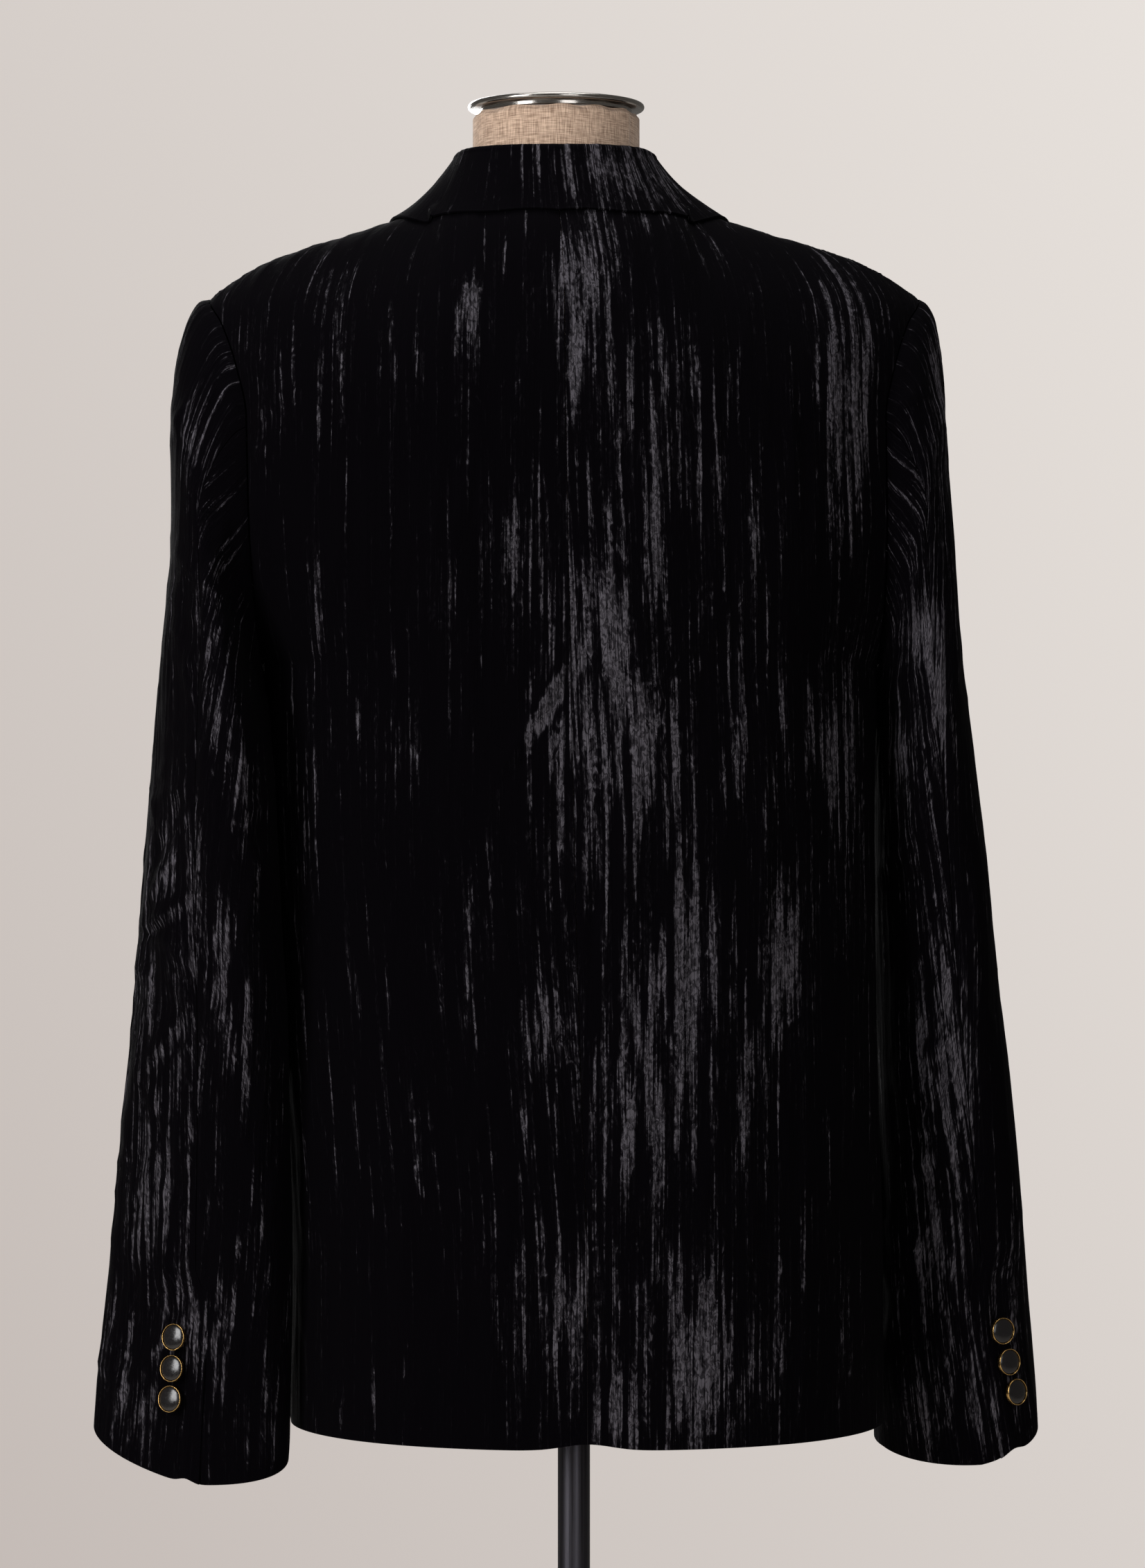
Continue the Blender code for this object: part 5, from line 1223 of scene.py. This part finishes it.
# %% Sleeves dressed
sleeve_rows = np.concatenate([np.linspace(0, 0.10, 22), np.linspace(0.10, 1, 120)[1:]])
for side, word, table, fold_table in ((1, "left", SLEEVE_LEFT, SLEEVE_FOLDS_LEFT),
                                      (-1, "right", SLEEVE_RIGHT, SLEEVE_FOLDS_RIGHT)):
    for under, kind, count in ((False, "upper", 96), (True, "under", 110)):
        surface = sleeve_piece(side, table, fold_table, under)
        columns = even_columns(surface, 0.0, 1.0, count, 0.5)
        cloth_pieces[f"{kind}_sleeve_{word}"] = dress(
            f"velvet_{kind}_sleeve_{word}", f"{kind}_sleeve_{word}", surface, columns, sleeve_rows,
            CLOTH, 50 + 2 * side + under, turn=side > 0, lay="middle")

# %% [markdown]
# Where a sleeve is set in, both cut edges are turned inside and held by a narrow stay tape. It is
# hidden, but without it light would shine through the seam, so it is made as a band that follows the
# armhole's edge, a little towards its middle.

# %% Armhole tapes
TAPE_INSET = 0.0028


def armhole_tape(u, w, side):
    """The armhole's edge moved towards its middle, and along the shoulder by -6 to 4 mm with w."""
    edge = armhole_point(u, side)
    middle = np.array([0.0, 0.0, (SHOULDER_Z + UNDERARM_Z) / 2])
    inward = unit((middle - edge) * np.array([0.0, 1.0, 1.0]))
    inset = TAPE_INSET + 0.0016 * np.clip(w, 0, 1) ** 2
    return edge + inset[..., None] * inward + np.stack([side * (0.005 * w - 0.001), 0 * w, 0 * w], -1)


for side, word in ((1, "left"), (-1, "right")):
    around, out = np.meshgrid(np.linspace(0, 2 * np.pi, 181), np.linspace(-1, 1, 9))
    band = armhole_tape(around, out, side)
    towards = unit((np.array([0.0, 0.0, 1.302]) - band) * np.array([0.0, 1.0, 1.0]))
    if side > 0:
        band, towards = band[:, ::-1], towards[:, ::-1]
    tape = add_shell(f"armhole_tape_{word}", band, band + 0.0008 * towards, flat_cut(band),
                     np.zeros(out.shape), CLOTH)
print("armhole tapes 10 mm wide")

# %% [markdown]
# The shoulder seam is taped too, so that it doesn't stretch. The tape is a flat band under the seam,
# between the cloth and the form.

# %% Shoulder tapes
SHOULDER_TAPE_DEPTH = 0.0018

for side, word in ((1, "left"), (-1, "right")):
    x, w = np.meshgrid(np.linspace(NECK_X + 0.004, SHOULDER_X - 0.004, 60), np.linspace(-1, 1, 7))
    top = top_z(x, NECK_BACK_Z)
    under = top - SHOULDER_TAPE_DEPTH - 0.0001 * w ** 2
    band = np.stack([side * x + body("lean", top), 0.005 * w, under], -1)
    if side < 0:
        band = band[:, ::-1]
    tape = add_shell(f"shoulder_tape_{word}", band, band - np.array([0, 0, 0.0003]), flat_cut(band),
                     np.zeros(x.shape), CLOTH)
print("shoulder tapes", round(1000 * float(np.ptp(x))), "mm long")

# %% [markdown]
# ## The linen-covered form
#
# The form is a hard shell under a tight cover of natural linen. Only its neck shows from behind, and
# its chest between the lapels. The torso is the blazer's own surface set in, by little at the
# shoulders that carry it and by more below, and the neck is a tube that rises from the torso's top.

# %% Form surfaces
FORM_BOTTOM_Z = 0.8300
FORM_GAP = 0.0007
FORM_SLACK, NECK_SLACK, SIDE_SLACK = 0.010, 0.003, 0.010
NECK_CENTRE = np.array([0.0102, 0.0050])
NECK_RADIUS = 0.0480
NECK_TOP_Z = 1.5135


def form_point(s, k, facing):
    """The cloth's surface moved in: cloth and gap at the shoulders, FORM_SLACK more below them."""
    neck_z = NECK_BACK_Z if facing > 0 else NECK_FRONT_Z
    def surface(p, q):
        def across(z):
            return body("half", z) * np.sin(np.pi / 2 * p)
        top = np.full(np.broadcast(p, q).shape, SHOULDER_Z)
        for _ in range(10):
            top = top_z(across(top), neck_z)
        z = FORM_BOTTOM_Z + (UNDERARM_Z - FORM_BOTTOM_Z) * np.clip(q / SPLIT, 0, 1) + rise_of(q, top)
        x = across(z)
        return np.stack([x, cloth_y(x, z, facing), z], -1)
    point = surface(s, k)
    normals = surface_normals(surface, s, k)
    normals = normals * np.sign(normals[8, 3, 1]) * facing
    top = top_z(point[..., 0], neck_z)
    below = ease((top - point[..., 2] - 0.012) / 0.10)
    at_neck = ease((NECK_X + 0.012 - point[..., 0]) / 0.012) * (1 - below)
    inset = WALL + FORM_GAP + FORM_SLACK * below + NECK_SLACK * at_neck
    point = point - inset[..., None] * normals
    point[..., 0] -= SIDE_SLACK * ease((s - 0.66) / 0.34)
    point[..., 0] = np.where(s <= 0, 0.0, np.maximum(point[..., 0], 0.0))
    point[..., 1] = np.where(s >= 1, facing * np.maximum(facing * point[..., 1], 0.0), point[..., 1])
    point[..., 2] = np.where(k <= 0, FORM_BOTTOM_Z, point[..., 2])
    return point


def form_rings():
    """Rings of the torso from its foot to its top, each round the back and then the front, and the
    closed loop that the neck rises from."""
    turn = np.linspace(0, np.pi / 2, 13)
    inside = 2 / np.pi * np.arcsin(NECK_X * np.sin(turn) / SHOULDER_X)
    half = np.concatenate([inside, np.linspace(inside[-1], 1, 27)[1:]])
    s, k = np.meshgrid(half, np.concatenate([np.linspace(0, SPLIT, 24), np.linspace(SPLIT, 1, 40)[1:]]))
    back, front = form_point(s, k, 1), form_point(s, k, -1)
    shoulder = (back[-1, 12:] + front[-1, 12:]) / 2
    shoulder[:, 1] = 0.0
    back[-1, 12:] = front[-1, 12:] = shoulder
    mirror = np.array([-1.0, 1.0, 1.0])
    ring = np.concatenate([back[:, :0:-1], back * mirror, front[:, -2:0:-1] * mirror, front[:, :-1]], 1)
    ring[..., 0] += body("lean", ring[..., 2])
    loop = np.concatenate([back[-1, 12:0:-1], back[-1, :13] * mirror,
                           front[-1, 11:0:-1] * mirror, front[-1, :12]])
    loop[:, 0] += body("lean", loop[:, 2])
    return ring, loop


torso_rings, neck_loop = form_rings()
print("torso of", torso_rings.shape[0], "rings with", torso_rings.shape[1], "points each")

# %% Linen material
THREAD_MM = 1.1
tree, shader, linen = new_material("natural_linen")
cut_map = add_node(tree, "ShaderNodeUVMap", {"uv_map": "cut"})
weft = cloth_noise(tree, cut_map, 9 * THREAD_MM, THREAD_MM / 2, 2.0)
warp = cloth_noise(tree, cut_map, THREAD_MM / 2, 9 * THREAD_MM, 2.0)
crossing = add_node(tree, "ShaderNodeMath", {"operation": "ADD"}, {0: weft, 1: warp})
shade = add_node(tree, "ShaderNodeMapRange", None, {
    "Value": crossing.outputs[0], "From Min": 0.72, "From Max": 1.28})
flax = add_node(tree, "ShaderNodeValToRGB", None, {"Fac": shade.outputs[0]})
flax.color_ramp.elements[0].color = linear("#8f7562")
flax.color_ramp.elements[1].color = linear("#dcbfa8")
weave = add_node(tree, "ShaderNodeBump", None, {
    "Strength": 0.6, "Distance": 0.0005, "Height": crossing.outputs[0]})
tree.links.new(flax.outputs["Color"], shader.inputs["Base Color"])
tree.links.new(weave.outputs["Normal"], shader.inputs["Normal"])
shader.inputs["Roughness"].default_value = 0.92
shader.inputs["Specular IOR Level"].default_value = 0.25
shader.inputs["Sheen Weight"].default_value = 0.15
print("linen threads every", THREAD_MM, "mm")


# %% Form pieces
def closed_rings(name, rings, finish):
    """Mesh through rings that close on themselves, with flat ends, and its cut as UV map."""
    rows, columns = rings.shape[:2]
    index = np.arange(rows * columns).reshape(rows, columns)
    after = np.roll(index, -1, 1)
    quads = np.stack([index[:-1], after[:-1], after[1:], index[1:]], -1).reshape(-1, 4)
    mesh = bpy.data.meshes.new(name)
    ends = [index[0][::-1].tolist(), index[-1].tolist()]
    mesh.from_pydata(rings.reshape(-1, 3).tolist(), [], quads.tolist() + ends)
    u, v = flat_cut(np.concatenate([rings, rings[:, :1]], 1))
    u = np.broadcast_to(u[[rows // 2]], u.shape)
    corner_u = np.stack([u[:-1, :-1], u[:-1, 1:], u[1:, 1:], u[1:, :-1]], -1).reshape(-1)
    corner_v = np.stack([v[:-1, :-1], v[:-1, 1:], v[1:, 1:], v[1:, :-1]], -1).reshape(-1)
    flat = np.zeros((len(mesh.loops), 2), np.float32)
    flat[:len(corner_u)] = np.stack([corner_u, corner_v], -1)
    mesh.uv_layers.new(name="cut").data.foreach_set("uv", flat.ravel())
    mesh.materials.append(finish)
    mesh.shade_smooth()
    mesh.set_sharp_from_angle(angle=np.radians(50))
    piece = bpy.data.objects.new(name, mesh)
    bpy.context.scene.collection.objects.link(piece)
    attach(piece, "root")
    return piece


torso = closed_rings("linen_torso", torso_rings, linen)
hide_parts("dress_form")

# %% Neck with its gathered top
PLEATS, NECK_SEAM = 12, np.radians(149)
GATHER_FALL, GATHER_DEPTH, TOP_ROUNDING, OVERLAP = 0.0010, 0.0006, 0.0018, 0.0009
corners = np.arange(len(neck_loop) + 1)
closed_loop = np.concatenate([neck_loop, neck_loop[:1]])
fine = np.linspace(0, len(neck_loop), 240, endpoint=False)
loop = np.stack([np.interp(fine, corners, closed_loop[:, i]) for i in range(3)], -1)
angle = np.arctan2(loop[:, 1] - NECK_CENTRE[1], loop[:, 0] - NECK_CENTRE[0])
height = np.concatenate([np.linspace(0, 0.86, 26), np.linspace(0.86, 1, 15)[1:]])[:, None]
share = follow(height, np.array([0, 0.10, 0.24, 0.42, 0.62, 1.0]), np.array([0, 0.50, 0.80, 0.95, 1.0, 1.0]))
gathers = (0.5 - 0.5 * np.cos(PLEATS * angle + 0.9 * np.sin(3 * angle))) * ease((height - 0.90) / 0.10)
from_seam = (angle - NECK_SEAM + np.pi) % (2 * np.pi) - np.pi
overlap = OVERLAP * ease(1 - from_seam / 0.05) * ease(1 + from_seam / 0.9) * ease(height / 0.3)
radius = NECK_RADIUS - TOP_ROUNDING * ease((height - 0.95) / 0.05) - GATHER_DEPTH * gathers + overlap
circle = NECK_CENTRE + radius[..., None] * np.stack([np.cos(angle), np.sin(angle)], -1)
neck_rings = np.repeat(loop[None], len(height), 0)
neck_rings[..., :2] += (circle - loop[:, :2]) * share[..., None]
neck_rings[..., 2] += (NECK_TOP_Z - loop[:, 2]) * height - GATHER_FALL * gathers
neck = closed_rings("linen_neck", neck_rings, linen)
print("form: torso of", len(torso.data.polygons), "faces, neck of", len(neck.data.polygons))

# %% [markdown]
# ## Turned metal: cap, pole and base
#
# The neck cap is a pressed disc of polished steel with a rolled rim, and the pole is a drawn steel
# tube in dark grey, a grey that is partly painted shade from the jacket above it. All of it was turned
# or drawn, so each piece is one profile carried round an axis. A Bevel modifier rounds the corners,
# because a sharp corner never catches the light.

# %% Turned pieces
def turned(name, node, finish, profile, centre, axis=(0, 0, 1), segments=96, bore=False,
           bevel=0.0004):
    """Each (radius, height) of the profile carried round the axis. The first and last ring are closed
    with a fan, or joined to each other where the piece has a bore."""
    axis = unit(np.asarray(axis, float))
    across = unit(np.cross(axis, [0.0, 0.3, 1.0] if abs(axis[2]) < 0.9 else [0.0, 1.0, 0.0]))
    radius, height = np.array(profile, float).T
    angle = np.linspace(0, 2 * np.pi, segments, endpoint=False)[:, None]
    spokes = np.cos(angle) * across + np.sin(angle) * np.cross(axis, across)
    rings = np.asarray(centre) + height[:, None, None] * axis + radius[:, None, None] * spokes
    index = np.arange(len(profile) * segments).reshape(len(profile), segments)
    if bore:
        index = np.concatenate([index, index[:1]])
    after = np.roll(index, -1, 1)
    faces = np.stack([index[:-1], after[:-1], after[1:], index[1:]], -1).reshape(-1, 4).tolist()
    points = rings.reshape(-1, 3).tolist()
    if not bore:
        foot, head = len(points), len(points) + 1
        points += (np.asarray(centre) + np.array([[height[0]], [height[-1]]]) * axis).tolist()
        faces += np.stack([index[0], np.full(segments, foot), after[0]], -1).tolist()
        faces += np.stack([index[-1], after[-1], np.full(segments, head)], -1).tolist()
    mesh = bpy.data.meshes.new(name)
    mesh.from_pydata(points, [], faces)
    mesh.materials.append(finish)
    mesh.shade_smooth()
    piece = bpy.data.objects.new(name, mesh)
    bpy.context.scene.collection.objects.link(piece)
    rounding = piece.modifiers.new("rounding", "BEVEL")
    rounding.width, rounding.segments, rounding.angle_limit = bevel, 3, np.radians(25)
    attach(piece, "root")
    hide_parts(node)
    return piece


# %% Steel
def object_noise(tree, scale_mm, detail):
    """Noise on Object coordinates with cells of a real size along x, y and z."""
    place = add_node(tree, "ShaderNodeTexCoord")
    sized = add_node(tree, "ShaderNodeMapping", None, {
        "Vector": place.outputs["Object"], "Scale": tuple(1000 / mm for mm in scale_mm)})
    return add_node(tree, "ShaderNodeTexNoise", None, {
        "Vector": sized.outputs["Vector"], "Scale": 1.0, "Detail": detail}).outputs["Fac"]


def metal(name, colours, roughness, grain_mm, depth):
    """A metal whose colour, roughness and fine bump all follow one noise of a real grain."""
    tree, shader, made = new_material(name)
    grain = object_noise(tree, grain_mm, 3.0)
    shade = add_node(tree, "ShaderNodeValToRGB", None, {"Fac": grain})
    shade.color_ramp.elements[0].color = linear(colours[0])
    shade.color_ramp.elements[1].color = linear(colours[1])
    polish = add_node(tree, "ShaderNodeMapRange", None, {
        "Value": grain, "From Min": 0.3, "From Max": 0.7, "To Min": roughness[0], "To Max": roughness[1]})
    marks = add_node(tree, "ShaderNodeBump", None, {"Strength": 0.4, "Distance": depth, "Height": grain})
    tree.links.new(shade.outputs["Color"], shader.inputs["Base Color"])
    tree.links.new(polish.outputs[0], shader.inputs["Roughness"])
    tree.links.new(marks.outputs["Normal"], shader.inputs["Normal"])
    shader.inputs["Metallic"].default_value = 1.0
    return made


polished_steel = metal("polished_steel", ("#6f6b69", "#b9b4ae"), (0.12, 0.24), (2.0, 2.0, 0.3), 0.00005)
# Dark grey steel: its colour is partly painted shade, the shade that the jacket casts on the pole
drawn_steel = metal("dark_drawn_steel_and_shade", ("#29282b", "#4b494f"), (0.30, 0.46), (0.6, 0.6, 60.0), 0.00006)

print("metals:", polished_steel.name, "and", drawn_steel.name)

# %% Cap and pole
CAP_RADIUS, CAP_HEIGHT, CAP_LIFT, PLUG_RADIUS = 0.0508, 0.0034, 0.0022, 0.0435
POLE_RADIUS, BASE_RADIUS, BASE_HEIGHT = 0.0093, 0.165, 0.009
HUB_RADIUS, HUB_HEIGHT, FLANGE_RADIUS, FLANGE_HEIGHT = 0.021, 0.034, 0.040, 0.006
half_turn = np.linspace(-np.pi / 2, np.pi / 2, 11)
rim_radius, cap_top = CAP_HEIGHT / 2, CAP_LIFT + CAP_HEIGHT
rim = [(CAP_RADIUS - rim_radius * (1 - np.cos(a)), CAP_LIFT + rim_radius * (1 + np.sin(a)))
       for a in half_turn]
dome = [(0.0380, cap_top + 0.0006), (0.0200, cap_top + 0.0013), (0.0060, cap_top + 0.0016)]
turned("neck_cap_polished", "neck_cap", polished_steel,
       [(PLUG_RADIUS, 0), (PLUG_RADIUS, CAP_LIFT)] + rim + dome,
       (*NECK_CENTRE, NECK_TOP_Z + SEAM), segments=160, bevel=0.0003)
flange_z = FORM_BOTTOM_Z - SEAM - FLANGE_HEIGHT
turned("pole_flange_turned", "pole_flange", drawn_steel,
       [(0.016, 0), (FLANGE_RADIUS, 0.002), (FLANGE_RADIUS, FLANGE_HEIGHT)], (0, 0, flange_z))
foot_z = BASE_HEIGHT + SEAM
turned("pole_tube", "pole", drawn_steel,
       [(POLE_RADIUS, 0), (POLE_RADIUS, flange_z - SEAM - foot_z)], (0, 0, foot_z))
turned("base_plate_turned", "base_plate", drawn_steel,
       [(BASE_RADIUS - 0.002, 0), (BASE_RADIUS, 0.002), (BASE_RADIUS, BASE_HEIGHT - 0.002),
        (BASE_RADIUS - 0.002, BASE_HEIGHT)], (0, 0, 0), segments=160, bevel=0.0008)
bore = POLE_RADIUS + SEAM
turned("base_hub_turned", "base_hub", drawn_steel,
       [(bore, SEAM), (HUB_RADIUS + 0.004, SEAM), (HUB_RADIUS + 0.004, 0.004),
        (HUB_RADIUS - 0.004, 0.010), (HUB_RADIUS - 0.006, HUB_HEIGHT - 0.002),
        (HUB_RADIUS - 0.008, HUB_HEIGHT), (bore, HUB_HEIGHT)], (0, 0, BASE_HEIGHT), bore=True)
print("stand: cap", 2 * CAP_RADIUS, "m and pole", 2 * POLE_RADIUS, "m across")

# %% [markdown]
# ## Buttons
#
# Each button is a thin gilt brass cup with a shank, and a black enamel face pressed into it. Cast and
# plated brass is warm and fairly smooth, and enamel is glass: black, hard and glossy. They sit on the
# back seam of the cuffs, nine degrees round from it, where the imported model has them.

# %% Button finishes and shape
gilt = metal("gilt_brass", ("#8f6a33", "#d3b074"), (0.16, 0.30), (0.5, 0.5, 0.5), 0.00004)
tree, shader, enamel = new_material("black_enamel")
ripple = object_noise(tree, (1.4, 1.4, 1.4), 2.0)
evenness = add_node(tree, "ShaderNodeMapRange", None, {
    "Value": ripple, "From Min": 0.3, "From Max": 0.7, "To Min": 0.14, "To Max": 0.26})
skin = add_node(tree, "ShaderNodeBump", None, {"Strength": 0.25, "Distance": 0.0001, "Height": ripple})
tree.links.new(evenness.outputs[0], shader.inputs["Roughness"])
tree.links.new(skin.outputs["Normal"], shader.inputs["Normal"])
shader.inputs["Base Color"].default_value = linear("#121011")
print("buttons:", gilt.name, "and", enamel.name)

# %% Button shape
CUFF_BUTTON_RADIUS, FRONT_BUTTON_RADIUS = 0.0076, 0.0100
BUTTON_HEIGHTS = (0.8145, 0.7965, 0.7790)
FROM_SEAM_DEG = 9


def add_button(name, place, axis, radius):
    """Cup and face as two turned pieces on the same axis. The rim is a thirteenth of the radius wide."""
    foot, height, inside = 0.0004, 0.42 * radius, 0.925 * radius
    lip = foot + 0.0012 + height
    cup = [(0.34 * radius, foot), (0.34 * radius, foot + 0.0012), (0.86 * radius, foot + 0.0015),
           (radius, foot + 0.0026), (radius, lip), (0.97 * radius, lip + 0.0004),
           (inside, lip + 0.0002), (inside, foot + 0.0030)]
    face = [(inside - 0.0002, foot + 0.0033), (inside - 0.0002, lip - 0.0002), (0.80 * inside, lip + 0.0003),
            (0.50 * inside, lip + 0.0007), (0.15 * inside, lip + 0.0009)]
    turned(f"{name}_gilt", f"{name}_cup", gilt, cup, place, axis, 64, bevel=0.0002)
    turned(f"{name}_enamel", f"{name}_face", enamel, face, place, axis, 64, bevel=0.0002)


print(f"buttons {2000 * CUFF_BUTTON_RADIUS:.1f} and {2000 * FRONT_BUTTON_RADIUS:.1f} mm across")

# %% Buttons in place
def cuff_seat(height, side, table, fold_table):
    """Where a cuff button sits: halving finds the place beside the seam at a height. Also the normal."""
    def near(v, turn=0.0, down=0.0):
        u = np.radians(sleeve(table, "seam", v) - FROM_SEAM_DEG)
        return sleeve_point(u + turn, v + down, side, table, fold_table)
    low, high = np.array(0.5), np.array(1.0)
    for _ in range(30):
        v = (low + high) / 2
        low, high = (v, high) if near(v)[2] > height else (low, v)
    normal = unit(np.cross(near(v, 0.02) - near(v, -0.02), near(v, 0, 0.004) - near(v, 0, -0.004)))
    normal = normal * np.sign(normal[1])
    return near(v) + 0.0006 * normal, normal


for side, word, table, fold_table, tilt in (
        (1, "left", SLEEVE_LEFT, SLEEVE_FOLDS_LEFT, (0.0, 0.0, 0.18)),
        (-1, "right", SLEEVE_RIGHT, SLEEVE_FOLDS_RIGHT, (-0.35, 0.0, 0.10))):
    for number, height in enumerate(BUTTON_HEIGHTS, 1):
        seat, normal = cuff_seat(height, side, table, fold_table)
        add_button(f"cuff_button_{word}_{number}", seat, normal + np.array(tilt), CUFF_BUTTON_RADIUS)
        print(f"cuff button {word} {number} at", seat.round(4).tolist())
front_seat = front_face(np.array(-0.001), np.array(1.070), -1, np.array(0.0006))
add_button("front_button", front_seat, (0, -1, 0.02), FRONT_BUTTON_RADIUS)

# %% [markdown]
# ## Floor and light
#
# The garment stands on a plain pale floor in soft studio light. The floor is a low disc that the
# picture itself never reaches. The backdrop is the world: what the camera sees of it is the pale warm
# grey of the paper with painted light on it, brighter upwards and towards -x, while reflections see a
# dimmer studio, so that black pile can stay black.

# %% Floor
FLOOR_RADIUS = 3.4
angles = np.linspace(0, 2 * np.pi, 96, endpoint=False)
floor_mesh = bpy.data.meshes.new("floor")
floor_mesh.from_pydata(
    np.stack([FLOOR_RADIUS * np.cos(angles), FLOOR_RADIUS * np.sin(angles), np.zeros(96)], -1).tolist(),
    [], [list(range(96))])
floor = bpy.data.objects.new("floor", floor_mesh)
bpy.context.scene.collection.objects.link(floor)
tree, shader, paper = new_material("pale_paper")
shader.inputs["Base Color"].default_value = linear("#d9d3cc")
shader.inputs["Roughness"].default_value = 0.9
floor_mesh.materials.append(paper)
print("floor disc", 2 * FLOOR_RADIUS, "m across")


# %% Lights
def softbox(name, place, aim, size, power):
    """A square area light at a place, turned towards a point."""
    data = bpy.data.lights.new(name, "AREA")
    data.shape = "RECTANGLE"
    data.size, data.size_y = size
    data.energy = power
    light = bpy.data.objects.new(name, data)
    light.location = place
    light.rotation_euler = (Vector(place) - Vector(aim)).to_track_quat("Z", "Y").to_euler()
    bpy.context.scene.collection.objects.link(light)
    return light


boxes = [
    softbox("key", (2.2, 2.0, 1.9), (0, 0, 1.15), (1.2, 1.8), 74),
    softbox("fill", (-1.0, 3.0, 1.6), (0, 0, 1.1), (1.2, 1.8), 22),
    softbox("overhead", (0, 0.2, 3.2), (0, 0, 1.2), (1.6, 1.6), 30),
    softbox("front", (0.8, -2.8, 1.9), (0, 0, 1.1), (1.4, 1.8), 62),
]
print("lights:", {light.name: light.data.energy for light in boxes})

# %% Backdrop
world = bpy.data.worlds.new("studio")
bpy.context.scene.world = world
world.use_nodes = True
tree = world.node_tree
seen = add_node(tree, "ShaderNodeLightPath")
towards = add_node(tree, "ShaderNodeTexCoord")
# Painted light on the backdrop: brighter upwards and towards -x, as the studio light falls on the paper
slope = add_node(tree, "ShaderNodeVectorMath", {"operation": "DOT_PRODUCT"}, {
    0: towards.outputs["Generated"], 1: (-1.5, 0.0, 1.0)})
falloff = add_node(tree, "ShaderNodeMapRange", None, {
    "Value": slope.outputs["Value"], "From Min": -0.38, "From Max": 0.36})
wall_painted_light = add_node(tree, "ShaderNodeValToRGB", None, {"Fac": falloff.outputs[0]})
wall_painted_light.color_ramp.elements[0].color = linear("#c3bab5")
wall_painted_light.color_ramp.elements[1].color = linear("#e7e1dc")
paper_wall = tree.nodes["Background"]
tree.links.new(wall_painted_light.outputs["Color"], paper_wall.inputs["Color"])
dim_studio = add_node(tree, "ShaderNodeBackground", None, {"Color": linear("#c8c4be"), "Strength": 0.24})
backdrop = add_node(tree, "ShaderNodeMixShader", None, {
    0: seen.outputs["Is Camera Ray"], 1: dim_studio.outputs[0], 2: paper_wall.outputs[0]})
tree.links.new(backdrop.outputs[0], tree.nodes["World Output"].inputs["Surface"])
bpy.context.scene.view_settings.view_transform = "Standard"
print("backdrop seen by the camera, and a dimmer studio for reflections")
